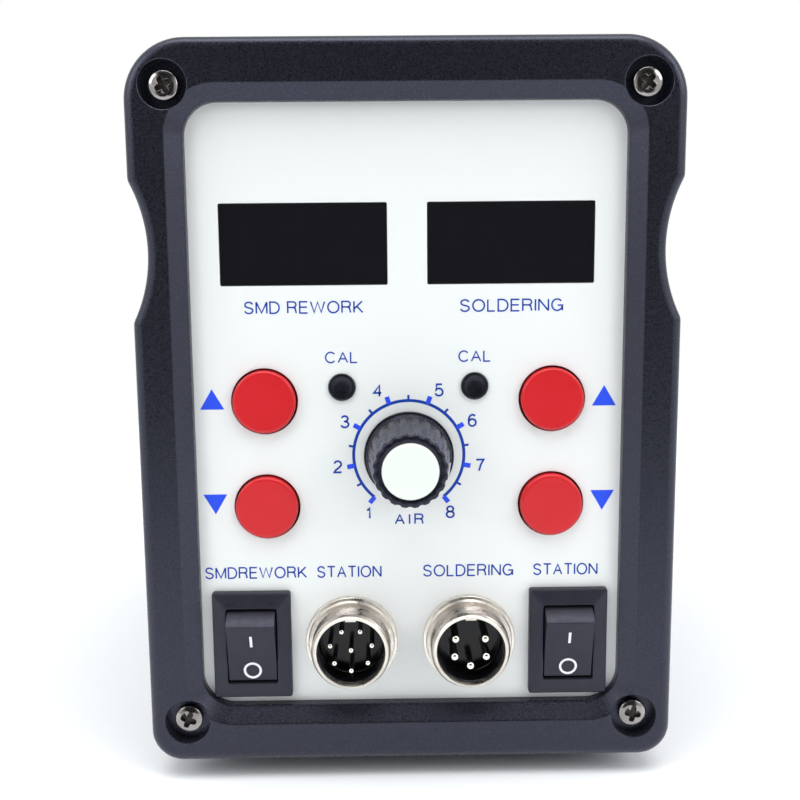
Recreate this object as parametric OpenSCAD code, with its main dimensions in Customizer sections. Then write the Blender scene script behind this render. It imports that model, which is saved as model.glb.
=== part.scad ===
// Two-channel hot-air and soldering station: the bench control unit.
// +Z is up, the control panel faces -Y, and the origin is the middle of the
// footprint at the level of the table.

/* [Case] */
// Width of both plastic bezels, the widest part of the unit
bezel_w = 100; // [100:1:112]
// Height of both plastic bezels
bezel_h = 135; // [135:1:150]
// Front of the front bezel to the back of the rear bezel
unit_length = 150; // [145:1:190]
// Height of the bezels' lower edge above the table
foot_gap = 4; // [3:0.5:8]
// Depth of each bezel, front to back
bezel_depth = 16; // [15:1:20]
// Radius of the bezels' two upper corners
top_corner_r = 11; // [9:0.5:13]
// Radius of the bezels' two lower corners
bottom_corner_r = 6; // [6:0.5:9]
// Wall thickness of the aluminium case
case_wall = 2; // [1.5:0.1:2.5]

/* [Front opening] */
// Width of the opening in the front bezel
window_w = 80; // [79:0.5:81]
// Height of the opening in the front bezel
window_h = 113.4; // [112:0.2:114]
// Corner radius of that opening
window_r = 6; // [4:0.5:7]
// Width of the sloping rim round the opening
slope_w = 3; // [2:0.5:3.5]
// Depth of the sloping rim
slope_depth = 2; // [1:0.5:3]
// How far the panel lies behind the bezel's front
panel_sink = 4; // [3.6:0.1:5]
// Depth of the finger hollow in each side of a bezel
waist_depth = 3.1; // [1:0.1:3.3]
// Height of that finger hollow
waist_h = 25.4; // [20:0.2:30]

/* [Controls] */
// Width of a display window
display_w = 30.8; // [28:0.2:31]
// Height of a display window
display_h = 15; // [12:0.5:16]
// Diameter of a push button
button_d = 11.75; // [10:0.05:11.9]
// Travel of a push button
button_travel = 0.4; // [0.2:0.05:0.5]
// Height of the air knob in front of the panel
knob_h = 15; // [13:0.5:18]
// Diameter of the air knob's skirt
knob_d = 16.9; // [14:0.1:18]
// Number of grip flutes on the air knob
knob_flutes = 20; // [12:1:24]
// Angle of the knob's pointer in the stored position, clockwise from the top
knob_rest_angle = 100; // [-140:5:140]
// Angle a rocker switch turns between off and on
rocker_throw = 30; // [20:1:32]

/* [Sockets] */
// Diameter of the sockets' coupling thread
thread_d = 15; // [14:0.1:16]
// Diameter of the sockets' front flange
flange_d = 17.7; // [17:0.1:19]
// How far the sockets stand out of the panel
socket_h = 7; // [6:0.5:9]

/* [Hidden] */
$fn = 48;
eps = 0.05;

// Main planes. Heights in front of the panel are given as "h", towards -Y.
front_y = -(unit_length - (knob_h - panel_sink)) / 2;
back_y = front_y + unit_length;
panel_y = front_y + panel_sink;
panel_t = 2;
mid_z = foot_gap + bezel_h / 2;
dial_z = mid_z - 8.3;

// Colours
black_plastic = [0.16, 0.16, 0.19];
case_black = [0.13, 0.13, 0.14];
panel_white = [0.93, 0.94, 0.94];
button_red = [0.80, 0.17, 0.19];
nickel = [0.80, 0.77, 0.72];
steel = [0.70, 0.70, 0.72];
board_green = [0.10, 0.36, 0.20];
rubber_black = [0.08, 0.08, 0.08];

// Bezels
rear_sink = 3;
corner_screw_inset_x = 7.1;
corner_screw_inset_z = 8.2;
corner_screw_x = bezel_w / 2 - corner_screw_inset_x;
corner_screw_z = bezel_h / 2 - corner_screw_inset_z;
pocket_d = 8.5;
pocket_depth = 2.6;
screw_head_d = 5.3;
screw_head_h = 2;
screw_hole_r = 1.7;
port_r = 1.45;
panel_lap = 1.8;
panel_corner_r = window_r + 2;
window_z = dial_z + 8.1;
waist_z = dial_z + 38.4;
waist_r = (pow(waist_h / 2, 2) + pow(waist_depth, 2)) / (2 * waist_depth);
waist_axis_x = bezel_w / 2 - waist_depth + waist_r;

// Case: a cover and a base that meet at mid height, capped by the bezels
case_w = bezel_w - 8;
case_h = bezel_h - 10;
case_r = 4;
case_in_w = case_w - 2 * case_wall;
case_in_h = case_h - 2 * case_wall;
case_lap = 3;
case_y0 = front_y + bezel_depth - case_lap;
case_y1 = back_y - bezel_depth + case_lap;
case_floor_z = mid_z - case_in_h / 2;
case_bottom_z = mid_z - case_h / 2;
bezel_bore_r = 12;
lap_gap = 0.15;
boss_r = 3.2;
foot_x = 32;
foot_y = [-42, 52];
case_screw_r = 1.45;
case_hole_r = 1.55;
holder_hole_r = 1.65;
holder_pitch = 30;
holder_y = -25;
holder_z = mid_z + 28.5;

// Controls, measured from the dial's centre
display_x = 19.05;
display_dz = 39.5;
button_x = 26.9;
button_dz = [10.5, -9.7];
button_hole_d = 12.45;
button_proud = 1.4;
button_cap_h = 5.5;
cal_x = 12.4;
cal_dz = 13.05;
cal_hole_r = 2;
pot_hole_r = 3.6;
rocker_x = 30.4;
rocker_dz = -36.75;
socket_x = 11.3;
socket_dz = -36.4;

// Control board, parallel to the panel
board_h = 10;
board_t = 1.6;
board_w = 80;
board_top_dz = 55;
board_low_dz = -17;
pillar_dx = 36;
pillar_dz = [51, -13.2];

// Rocker switches
rocker_frame_w = 15;
rocker_frame_h = 21;
rocker_frame_t = 2;
rocker_open_w = 9.6;
rocker_open_h = 14.8;
rocker_pivot_h = -1;
rocker_r = 7.45;
rocker_edge_angle = 34.5;
rocker_body_w = 13;
rocker_body_h = 18.8;
rocker_body_depth = 13;
trunnion_r = 1.1;

// Sockets
socket_bore_r = 6.45;
insert_h = 1;
pin_tip_h = 5.8;
nut_af = 19;
air_pins = concat([[0, 0]], [for (i = [0:6]) 4.05 * [sin(i * 360 / 7), -cos(i * 360 / 7)]]);
iron_pins = [for (a = [0, 62, 124, -62, -124]) 3.4 * [sin(a), -cos(a)]];

// Mains inlet and transformer
inlet_z = 46;
inlet_y = back_y - rear_sink;
inlet_body_w = 28;
inlet_body_h = 32;
inlet_body_depth = 20;
inlet_ear_x = 20;
cavity_w = 24;
cavity_h = 16.6;
cavity_depth = 16;
cavity_dz = -5.5;
drawer_w = 23;
drawer_h = 8;
drawer_depth = 12;
drawer_dz = 9.5;
drawer_gap = 0.2;
fuse_r = 2.5;
fuse_len = 20;
core_w = 66;
core_h = 55;
core_t = 34;
core_y = 22;
core_z = case_floor_z + 1;
core_window = 11;
core_leg = 22;
coil_over = 10;
strap_out = core_w / 2 + 1.1;
strap_w = 26;
strap_t = 1;
strap_foot_len = 6.2;
strap_screw_x = 36.9;
strap_screw_dy = 10;
inlet_flange_t = 2.5;
inlet_ear_hole_r = 1.6;
inlet_contacts = [[-7, -2], [7, -2], [0, 2]];

// Power board, flat above the case floor in front of the transformer
board2_y = [-42, -8];
board2_z = case_floor_z + 5;
board2_w = 76;
board2_hole_x = 34;
board2_hole_inset = 4;

// ---------- helpers ----------

// Rounded rectangle made of squares and circles
module rrect(w, h, r) {
    square([w - 2 * r, h], center = true);
    square([w, h - 2 * r], center = true);
    for (sx = [-1, 1], sz = [-1, 1])
        translate([sx * (w / 2 - r), sz * (h / 2 - r)]) circle(r);
}

// Rounded rectangle whose upper and lower corners differ
module rrect_2r(w, h, rt, rb) {
    translate([-w / 2, -h / 2 + rb]) square([w, h - rt - rb]);
    translate([-w / 2 + rb, -h / 2]) square([w - 2 * rb, h / 2]);
    translate([-w / 2 + rt, 0]) square([w - 2 * rt, h / 2]);
    for (s = [-1, 1]) {
        translate([s * (w / 2 - rt), h / 2 - rt]) circle(rt);
        translate([s * (w / 2 - rb), -h / 2 + rb]) circle(rb);
    }
}

// Raises an outline drawn in X and Z from y0 to y1
module along_y(y0, y1) {
    translate([0, y1, 0]) rotate([90, 0, 0]) linear_extrude(y1 - y0) children();
}

// Cylinder along Y between two heights in front of the panel
module peg(r, h0, h1, x = 0, z = dial_z) {
    translate([x, panel_y - h0, z]) rotate([90, 0, 0]) cylinder(r = r, h = h1 - h0);
}

// Block between two heights in front of the panel
module slab(w, d, h0, h1, x = 0, z = dial_z) {
    translate([x - w / 2, panel_y - h1, z - d / 2]) cube([w, h1 - h0, d]);
}

// Hexagonal nut along Y with a round hole
module hex_nut(af, hole_r, h0, h1, x, z) {
    difference() {
        translate([x, panel_y - h0, z]) rotate([90, 0, 0])
            cylinder(r = af / 2 / cos(30), h = h1 - h0, $fn = 6);
        peg(hole_r, h0 - 1, h1 + 1, x, z);
    }
}

// A solid of revolution about Y: the profile is [radius, height in front of the panel]
module turned(points, x = 0, z = dial_z) {
    translate([x, panel_y, z]) rotate([90, 0, 0]) rotate_extrude() polygon(points);
}

module at_corners(x, z) {
    for (sx = [-1, 1], sz = [-1, 1]) translate([sx * x, 0, mid_z + sz * z]) children();
}

// Pan-head screw whose head top is at y, pointing along dir (+1 is +Y)
module pan_screw(y, dir, head_r, head_h, shank_r, length) {
    translate([0, y, 0]) rotate([-90 * dir, 0, 0]) difference() {
        union() {
            cylinder(r = head_r, h = head_h);
            translate([0, 0, head_h - eps]) cylinder(r = shank_r, h = length + eps);
        }
        for (a = [0, 90]) rotate([0, 0, a])
            translate([-head_r * 0.55, -0.4, -eps]) cube([head_r * 1.1, 0.8, head_h * 0.6]);
    }
}

// ---------- bezels ----------

module waist_cuts(grow = 0) {
    for (s = [-1, 1]) translate([s * waist_axis_x, 0, waist_z]) rotate([90, 0, 0])
        cylinder(r = waist_r + grow, h = 2 * unit_length, center = true, $fn = 120);
}

// Block, bored for the case and the four screws; y0 is its outer face, dir points inwards
module bezel_shell(y0, dir) {
    ya = min(y0, y0 + dir * bezel_depth);
    yb = max(y0, y0 + dir * bezel_depth);
    lap0 = y0 + dir * (bezel_depth - case_lap);
    lap1 = y0 + dir * (bezel_depth + 1);
    difference() {
        translate([0, 0, mid_z]) along_y(ya, yb)
            rrect_2r(bezel_w, bezel_h, top_corner_r, bottom_corner_r);
        waist_cuts();
        translate([0, 0, mid_z]) along_y(min(lap0, lap1), max(lap0, lap1))
            rrect(case_w + 2 * lap_gap, case_h + 2 * lap_gap, case_r);
        at_corners(corner_screw_x, corner_screw_z) {
            translate([0, y0 - dir, 0]) rotate([-90 * dir, 0, 0])
                cylinder(r = pocket_d / 2, h = pocket_depth + 1);
            translate([0, y0, 0]) rotate([-90 * dir, 0, 0])
                cylinder(r = screw_hole_r, h = bezel_depth);
        }
        children();
    }
}

module slope_cut() {
    hull() for (k = [0, 1])
        translate([0, 0, window_z]) along_y(front_y - eps + k * slope_depth, front_y + k * slope_depth)
            rrect(window_w + 2 * slope_w * (1 - k), window_h + 2 * slope_w * (1 - k),
                  window_r + slope_w * (1 - k), $fn = 32);
}

module front_bezel() {
    color(black_plastic) bezel_shell(front_y, 1) {
        slope_cut();
        translate([0, 0, window_z]) along_y(front_y - 1, panel_y + 1) rrect(window_w, window_h, window_r);
        translate([0, 0, window_z]) along_y(panel_y, panel_y + panel_t)
            rrect(window_w + 2 * panel_lap, window_h + 2 * panel_lap, panel_corner_r);
        translate([0, 0, mid_z]) along_y(panel_y + panel_t, front_y + bezel_depth + 1)
            rrect(case_in_w, case_in_h, bezel_bore_r);
    }
}

module rear_bezel() {
    color(black_plastic) bezel_shell(back_y, -1) {
        translate([0, 0, mid_z]) along_y(inlet_y - panel_t - eps, back_y + 1)
            rrect(window_w, window_h, window_r);
        translate([0, 0, mid_z]) along_y(back_y - bezel_depth - 1, inlet_y - panel_t)
            rrect(case_in_w, case_in_h, bezel_bore_r);
        translate([0, 0, mid_z]) along_y(inlet_y - panel_t - eps, inlet_y)
            rrect(window_w + 2 * panel_lap, window_h + 2 * panel_lap, panel_corner_r);
    }
}

module front_bezel_screws() {
    color(nickel) at_corners(corner_screw_x, corner_screw_z)
        pan_screw(front_y + pocket_depth - screw_head_h, 1, screw_head_d / 2, screw_head_h, 1.4, 16);
}

module rear_bezel_screws() {
    color(nickel) at_corners(corner_screw_x, corner_screw_z)
        pan_screw(back_y - pocket_depth + screw_head_h, -1, screw_head_d / 2, screw_head_h, 1.4, 16);
}

// ---------- control panel ----------

module front_panel() {
    color(panel_white) difference() {
        translate([0, 0, window_z]) along_y(panel_y, panel_y + panel_t)
            rrect(window_w + 2 * panel_lap, window_h + 2 * panel_lap, panel_corner_r);
        for (s = [-1, 1]) {
            slab(display_w, display_h, -3, 1, s * display_x, dial_z + display_dz);
            for (dz = button_dz) peg(button_hole_d / 2, -3, 1, s * button_x, dial_z + dz);
            peg(cal_hole_r, -3, 1, s * cal_x, dial_z + cal_dz);
            slab(rocker_body_w + 0.2, rocker_body_h + 0.2, -3, 1, s * rocker_x, dial_z + rocker_dz);
            peg(thread_d / 2 + 0.1, -3, 1, s * socket_x, dial_z + socket_dz);
        }
        peg(pot_hole_r, -3, 1);
    }
}

module display_window(s) {
    color([0.05, 0.03, 0.04])
        slab(display_w - 0.1, display_h - 0.1, -panel_t, -0.1, s * display_x, dial_z + display_dz);
}

module led_display(s) {
    color([0.2, 0.2, 0.2])
        slab(30, 14, -board_h, -panel_t - 0.1, s * display_x, dial_z + display_dz);
}

module control_board() {
    mid_dz = (board_top_dz + board_low_dz) / 2;
    color(board_green) difference() {
        slab(board_w, board_top_dz - board_low_dz, -board_h - board_t, -board_h, 0, dial_z + mid_dz);
        for (s = [-1, 1], dz = pillar_dz) peg(1.4, -board_h - 3, -board_h + 1, s * pillar_dx, dial_z + dz);
    }
}

module board_standoffs() {
    color(nickel) for (s = [-1, 1], dz = pillar_dz) difference() {
        peg(2.5, -board_h, -panel_t, s * pillar_dx, dial_z + dz);
        peg(1.2, -board_h - 1, -panel_t - 1, s * pillar_dx, dial_z + dz);
    }
}

module board_screws() {
    back = -board_h - board_t;
    color(steel) for (s = [-1, 1], dz = pillar_dz) translate([s * pillar_dx, 0, dial_z + dz])
        pan_screw(panel_y - back + 1.6, -1, 2.2, 1.6, 1.15, 5);
}

// Flat cable from the control board's back down to the power board
module ribbon_cable() {
    y0 = panel_y + board_h + board_t;
    cable_w = 16;
    bend = 4;
    top_z = dial_z - 6;
    low_z = case_floor_z + 12;
    color([0.72, 0.72, 0.74]) {
        translate([-cable_w / 2 - 1, y0, top_z - 3]) cube([cable_w + 2, 6, 6]);
        translate([-cable_w / 2, y0 + 2, low_z + bend]) cube([cable_w, 1, top_z - low_z - bend - 3]);
        translate([-cable_w / 2, y0 + 2 + bend, low_z + bend]) rotate([0, 90, 0]) intersection() {
            difference() {
                cylinder(r = bend, h = cable_w);
                translate([0, 0, -1]) cylinder(r = bend - 1, h = cable_w + 2);
            }
            translate([0, -bend - 1, 0]) cube([bend + 1, bend + 1, cable_w]);
        }
        translate([-cable_w / 2, y0 + 2 + bend, low_z]) cube([cable_w, 6, 1]);
        translate([-cable_w / 2 - 1, y0 + bend + 8, board2_z + board_t])
            cube([cable_w + 2, 5, low_z + 3 - board2_z - board_t]);
    }
}

module tact_switches() {
    color([0.12, 0.12, 0.12]) for (s = [-1, 1], dz = button_dz) difference() {
        slab(12, 12, -board_h, -board_h + 4, s * button_x, dial_z + dz);
        peg(1.98, -board_h + 1.5, -board_h + 5, s * button_x, dial_z + dz);
    }
}

// Round cap with the plunger it drives
module push_button(s, dz) {
    top = button_proud;
    color(button_red) translate([s * button_x, 0, dz]) {
        turned([
            [0, top], [button_d / 2 - 0.5, top], [button_d / 2, top - 0.5],
            [button_d / 2, top - button_cap_h], [1.9, top - button_cap_h],
            [1.9, -board_h + 2.1], [0, -board_h + 2.1]
        ]);
    }
}

// ---------- air knob and its potentiometer ----------

module air_knob() {
    grip_r = 7.1;
    flute_r = 0.6;
    skirt_top = 2.4;
    ring_top = knob_h - 0.5;
    color(black_plastic) difference() {
        union() {
            turned([
                [0, 0.6], [knob_d / 2, 0.6], [knob_d / 2, skirt_top - 0.4],
                [knob_d / 2 - 0.4, skirt_top], [0, skirt_top]
            ]);
            translate([0, 0, dial_z]) rotate([0, knob_rest_angle, 0])
                along_y(panel_y - ring_top, panel_y - skirt_top + eps) difference() {
                    circle(grip_r, $fn = 96);
                    for (i = [0:knob_flutes - 1]) rotate((i + 0.5) * 360 / knob_flutes)
                        translate([grip_r + 0.15, 0]) circle(flute_r, $fn = 24);
                }
        }
        peg(5.9, 0, 2.6);
        peg(3, 2, 11);
        peg(5.15, knob_h - 1.5, knob_h + 1);
    }
}

module knob_cap() {
    color([0.95, 0.95, 0.92]) turned([
        [0, knob_h - 1.5], [5.1, knob_h - 1.5], [5.1, knob_h - 0.3], [4.7, knob_h], [0, knob_h]
    ]);
}

module pot_shaft() {
    flat = 2.95 - 1.5;
    color(steel) difference() {
        peg(2.95, -8.4, 10.9);
        translate([0, panel_y, dial_z]) rotate([0, knob_rest_angle, 0])
            translate([-4, -12, flat]) cube([8, 8, 4]);
    }
}

module pot_body() {
    color([0.35, 0.42, 0.36]) difference() {
        union() {
            slab(11, 11, -board_h, -3.4);
            peg(3.5, -3.5, 2);
        }
        peg(3.02, -8.6, 3);
    }
}

module pot_nut() {
    color(nickel) hex_nut(10, 3.52, 0, 1.8, 0, dial_z);
}

// ---------- calibration trimmers ----------

module cal_plug(s) {
    color(rubber_black) turned([
        [0, 0.3], [1.6, 0.3], [2.2, 0.55], [2.6, 0.3], [2.6, 0.02], [1.95, 0.02],
        [1.95, -2.6], [1.6, -3], [0, -3]
    ], s * cal_x, dial_z + cal_dz);
}

module cal_trimmers() {
    color([0.15, 0.25, 0.6]) for (s = [-1, 1]) difference() {
        slab(6.6, 6.6, -board_h, -5, s * cal_x, dial_z + cal_dz);
        peg(2.26, -6, -4, s * cal_x, dial_z + cal_dz);
    }
}

module cal_rotor(s) {
    color([0.92, 0.92, 0.9]) difference() {
        peg(2.2, -5.9, -4.8, s * cal_x, dial_z + cal_dz);
        slab(0.7, 3.4, -5.3, -4, s * cal_x, dial_z + cal_dz);
        slab(3.4, 0.7, -5.3, -4, s * cal_x, dial_z + cal_dz);
    }
}

// ---------- rocker switches ----------

module rocker_frame(s) {
    x = s * rocker_x;
    z = dial_z + rocker_dz;
    color(black_plastic) difference() {
        union() {
            translate([x, 0, z]) along_y(panel_y - rocker_frame_t, panel_y)
                rrect(rocker_frame_w, rocker_frame_h, 0.6);
            slab(rocker_body_w, rocker_body_h, -rocker_body_depth, eps, x, z);
        }
        slab(rocker_open_w, rocker_open_h, 0, 3, x, z);
        slab(rocker_open_w, rocker_open_h + 0.8, -9, rocker_frame_t - 1, x, z);
        for (k = [-1, 1]) translate([x + k * 5.3, panel_y - rocker_pivot_h, z]) rotate([0, 90, 0])
            cylinder(r = trunnion_r + 0.05, h = 1.2, center = true);
    }
}

// Side outline at mid throw, drawn with -Y to the left and +Z up, the pivot at the origin.
// The ends are arcs about the pivot and the face is slightly hollow.
module rocker_outline() {
    face = rocker_r * sin(rocker_edge_angle);
    hollow = 0.4;
    face_r = 45;
    hub_w = 4.4;
    hub_depth = 3.6;
    difference() {
        intersection() {
            circle(rocker_r, $fn = 96);
            translate([-face, -rocker_r]) square([face + 0.8, 2 * rocker_r]);
        }
        translate([-face + hollow - face_r, 0]) circle(face_r, $fn = 200);
    }
    translate([0, -hub_w / 2]) square([hub_depth, hub_w]);
}

module rocker_paddle(s) {
    paddle_w = rocker_open_w - 0.4;
    color(black_plastic) translate([s * rocker_x, panel_y - rocker_pivot_h, dial_z + rocker_dz]) {
        rotate([rocker_throw / 2, 0, 0]) translate([-paddle_w / 2, 0, 0])
            rotate([90, 0, 90]) linear_extrude(paddle_w) rocker_outline();
        rotate([0, 90, 0]) cylinder(r = trunnion_r, h = paddle_w + 2, center = true);
    }
}

module rocker_terminals() {
    color([0.85, 0.82, 0.7]) for (s = [-1, 1], dz = [-4, 4])
        slab(4.8, 0.8, -rocker_body_depth - 8, -rocker_body_depth, s * rocker_x,
             dial_z + rocker_dz + dz);
}

// ---------- sockets ----------

module socket_shell(s) {
    color(nickel) turned([
        [socket_bore_r, -9], [thread_d / 2, -9], [thread_d / 2, 0], [flange_d / 2, 0],
        [flange_d / 2, 1.6], [flange_d / 2 - 0.4, 2], [thread_d / 2, 2],
        [thread_d / 2, socket_h - 0.5], [thread_d / 2 - 0.5, socket_h], [socket_bore_r, socket_h]
    ], s * socket_x, dial_z + socket_dz);
}

module socket_insert(s, pins, r) {
    color([0.05, 0.05, 0.06]) difference() {
        peg(socket_bore_r - 0.02, -9, insert_h, s * socket_x, dial_z + socket_dz);
        for (p = pins) peg(r + 0.02, -10, insert_h + 1, s * socket_x + p[0], dial_z + socket_dz + p[1]);
    }
}

module socket_pins(s, pins, r) {
    color([0.85, 0.83, 0.76]) for (p = pins)
        peg(r, -12, pin_tip_h, s * socket_x + p[0], dial_z + socket_dz + p[1]);
}

module socket_nut(s) {
    color(nickel) hex_nut(nut_af, thread_d / 2 + 0.02, -panel_t - 2.5, -panel_t,
                          s * socket_x, dial_z + socket_dz);
}

// ---------- case ----------

module case_section() {
    difference() {
        rrect(case_w, case_h, case_r);
        difference() {
            rrect(case_in_w, case_in_h, case_r - case_wall);
            for (sx = [-1, 1], sz = [-1, 1])
                translate([sx * corner_screw_x, sz * corner_screw_z]) circle(boss_r);
        }
        for (sx = [-1, 1], sz = [-1, 1])
            translate([sx * corner_screw_x, sz * corner_screw_z]) circle(port_r);
    }
}

// side = 1 for the cover, -1 for the base
module case_half(side) {
    translate([0, 0, mid_z]) intersection() {
        along_y(case_y0, case_y1) case_section();
        translate([-case_w, case_y0 - 1, side > 0 ? 0 : -case_h]) cube([2 * case_w, unit_length, case_h]);
    }
}

module case_cover() {
    slot_w = 2.4;
    slot_len = 24;
    slot_pitch = 6;
    slot_count = 9;
    color(case_black) difference() {
        case_half(1);
        for (s = [-1, 1]) {
            for (i = [0:slot_count - 1]) translate([s * case_w / 2, 4 + i * slot_pitch, mid_z + 30])
                cube([10, slot_w, slot_len], center = true);
            for (k = [-1, 1]) translate([s * case_w / 2, holder_y + k * holder_pitch / 2, holder_z])
                rotate([0, 90, 0]) cylinder(r = holder_hole_r, h = 10, center = true);
        }
    }
}

module case_base() {
    color(case_black) difference() {
        case_half(-1);
        at_feet() translate([0, 0, case_bottom_z - 1]) cylinder(r = case_hole_r, h = 4);
        at_strap_screws() translate([0, 0, case_bottom_z - 1]) cylinder(r = case_hole_r, h = 4);
    }
}

module rear_panel() {
    vent_count = 9;
    vent_pitch = 7;
    vent_w = 2.4;
    vent_len = 26;
    vent_z = mid_z + 28;
    color(case_black) difference() {
        translate([0, 0, mid_z]) along_y(inlet_y - panel_t, inlet_y)
            rrect(window_w + 2 * panel_lap, window_h + 2 * panel_lap, panel_corner_r);
        translate([0, inlet_y, inlet_z]) cube([inlet_body_w + 0.2, 10, inlet_body_h + 0.2], center = true);
        at_inlet_ears() cylinder(r = inlet_ear_hole_r, h = 10, center = true);
        for (i = [0:vent_count - 1]) translate([(i - (vent_count - 1) / 2) * vent_pitch, inlet_y, vent_z])
            cube([vent_w, 10, vent_len], center = true);
    }
}

module at_feet() {
    for (sx = [-1, 1], y = foot_y) translate([sx * foot_x, y, 0]) children();
}

module rubber_feet() {
    color(rubber_black) at_feet() difference() {
        cylinder(r1 = 6.2, r2 = 7, h = case_bottom_z);
        translate([0, 0, -1]) cylinder(r = 3.6, h = 4.5);
        cylinder(r = case_hole_r, h = case_bottom_z + 1);
    }
}

module foot_screws() {
    color(steel) at_feet() translate([0, 0, 1.7]) {
        cylinder(r = 2.8, h = 1.8);
        cylinder(r = case_screw_r, h = case_floor_z + 1);
    }
}

// ---------- inside ----------

module at_strap_screws() {
    for (sx = [-1, 1], sy = [-1, 1])
        translate([sx * strap_screw_x, core_y + sy * strap_screw_dy, 0]) children();
}

module transformer_core() {
    side_leg = (core_w - 2 * core_window - core_leg) / 2;
    color([0.45, 0.45, 0.47]) difference() {
        translate([-core_w / 2, core_y - core_t / 2, core_z]) cube([core_w, core_t, core_h]);
        for (s = [-1, 1]) translate([s * (core_leg + core_window) / 2, core_y, core_z + core_h / 2])
            cube([core_window, core_t + 2, core_h - 2 * side_leg], center = true);
    }
}

module transformer_coil() {
    coil_w = core_leg + 2 * core_window - 0.4;
    coil_h = 32.6;
    color([0.78, 0.62, 0.2]) translate([0, core_y, core_z + core_h / 2]) difference() {
        cube([coil_w, core_t + 2 * coil_over, coil_h], center = true);
        cube([core_leg + 0.2, core_t + 0.2, coil_h + 2], center = true);
    }
}

// Steel band over the core, bent down both sides to two screwed feet
module transformer_strap() {
    color(steel) difference() {
        translate([0, core_y - strap_w / 2, 0]) {
            translate([-strap_out, 0, core_z + core_h + 0.1]) cube([2 * strap_out, strap_w, strap_t]);
            for (side = [0, 1]) mirror([side, 0, 0]) translate([strap_out - strap_t, 0, case_floor_z]) {
                cube([strap_t, strap_w, core_h + 2]);
                cube([strap_foot_len, strap_w, strap_t]);
            }
        }
        at_strap_screws() translate([0, 0, case_floor_z - 1]) cylinder(r = case_hole_r + 0.05, h = 4);
    }
}

module transformer_screws() {
    color(steel) at_strap_screws() {
        translate([0, 0, case_floor_z + strap_t]) cylinder(r = 2.2, h = 2);
        translate([0, 0, case_bottom_z]) cylinder(r = case_screw_r, h = case_wall + strap_t + 1);
    }
}

module at_board2_pillars() {
    for (sx = [-1, 1], y = [board2_y[0] + board2_hole_inset, board2_y[1] - board2_hole_inset])
        translate([sx * board2_hole_x, y, 0]) children();
}

module power_board() {
    color(board_green) difference() {
        translate([-board2_w / 2, board2_y[0], board2_z])
            cube([board2_w, board2_y[1] - board2_y[0], board_t]);
        at_board2_pillars() translate([0, 0, board2_z - 1]) cylinder(r = 1.6, h = board_t + 2);
    }
}

module power_board_pillars() {
    color(nickel) at_board2_pillars() translate([0, 0, case_floor_z]) {
        cylinder(r = 2.8, h = board2_z - case_floor_z);
        cylinder(r = 1.5, h = board2_z - case_floor_z + board_t + 1.4);
    }
}

// Finned extrusion standing on the power board, with the triac on its front face
module heatsink() {
    sink_w = 40;
    sink_h = 26;
    fin_count = 7;
    color([0.6, 0.6, 0.62]) translate([-28, -22, board2_z + board_t]) {
        cube([sink_w, 3, sink_h]);
        for (i = [0:fin_count - 1]) translate([i * 6, 3 - eps, 0]) cube([1.6, 9, sink_h]);
    }
}

module triac() {
    color([0.1, 0.1, 0.1]) translate([-13, -26.6, board2_z + board_t]) {
        translate([0, 0, 5]) cube([10, 4.5, 9]);
        translate([0, 3.2, 5]) cube([10, 1.3, 15.5]);
        for (i = [0:2]) translate([2 + i * 2.6, 2, 0]) cube([0.8, 0.6, 5.1]);
    }
}

// Each one is [x, radius, height]
module capacitors() {
    color([0.15, 0.2, 0.35]) for (c = [[20, 6.3, 25], [33, 4, 12]])
        translate([c[0], -20, board2_z + board_t]) cylinder(r = c[1], h = c[2]);
}

// ---------- mains inlet ----------

module at_inlet_ears() {
    for (s = [-1, 1]) translate([s * inlet_ear_x, inlet_y, inlet_z]) rotate([90, 0, 0]) children();
}

// Flat contact blade, also the slot that it passes through
module inlet_contact(place, y0, y1) {
    translate([place[0] - 1, y0, inlet_z + cavity_dz + place[1] - 2]) cube([2, y1 - y0, 4]);
}

module inlet_housing() {
    outer_y = inlet_y + inlet_flange_t;
    color(black_plastic) difference() {
        union() {
            translate([0, 0, inlet_z]) along_y(inlet_y, outer_y) {
                square([inlet_body_w + 3, inlet_body_h + 3], center = true);
                square([2 * inlet_ear_x, 10], center = true);
                for (s = [-1, 1]) translate([s * inlet_ear_x, 0]) circle(5);
            }
            translate([-inlet_body_w / 2, inlet_y - inlet_body_depth, inlet_z - inlet_body_h / 2])
                cube([inlet_body_w, inlet_body_depth + eps, inlet_body_h]);
        }
        translate([-cavity_w / 2, outer_y - cavity_depth, inlet_z + cavity_dz - cavity_h / 2])
            cube([cavity_w, cavity_depth + 1, cavity_h]);
        translate([-drawer_w / 2 - drawer_gap, outer_y - drawer_depth - 2 * drawer_gap,
                   inlet_z + drawer_dz - drawer_h / 2 - drawer_gap])
            cube([drawer_w + 2 * drawer_gap, drawer_depth + 2, drawer_h + 2 * drawer_gap]);
        at_inlet_ears() cylinder(r = inlet_ear_hole_r, h = 10, center = true);
        for (place = inlet_contacts)
            inlet_contact(place, inlet_y - inlet_body_depth - 1, outer_y - cavity_depth + 1);
    }
}

module inlet_pins() {
    color(nickel) for (place = inlet_contacts)
        inlet_contact(place, inlet_y - inlet_body_depth - 6, inlet_y + 1);
}

module inlet_screws() {
    color(steel) at_inlet_ears() {
        translate([0, 0, -inlet_flange_t - 0.5]) cylinder(r = 2.7, h = 0.5);
        translate([0, 0, -inlet_flange_t - 0.1]) cylinder(r = 1.45, h = 8);
    }
}

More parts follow.
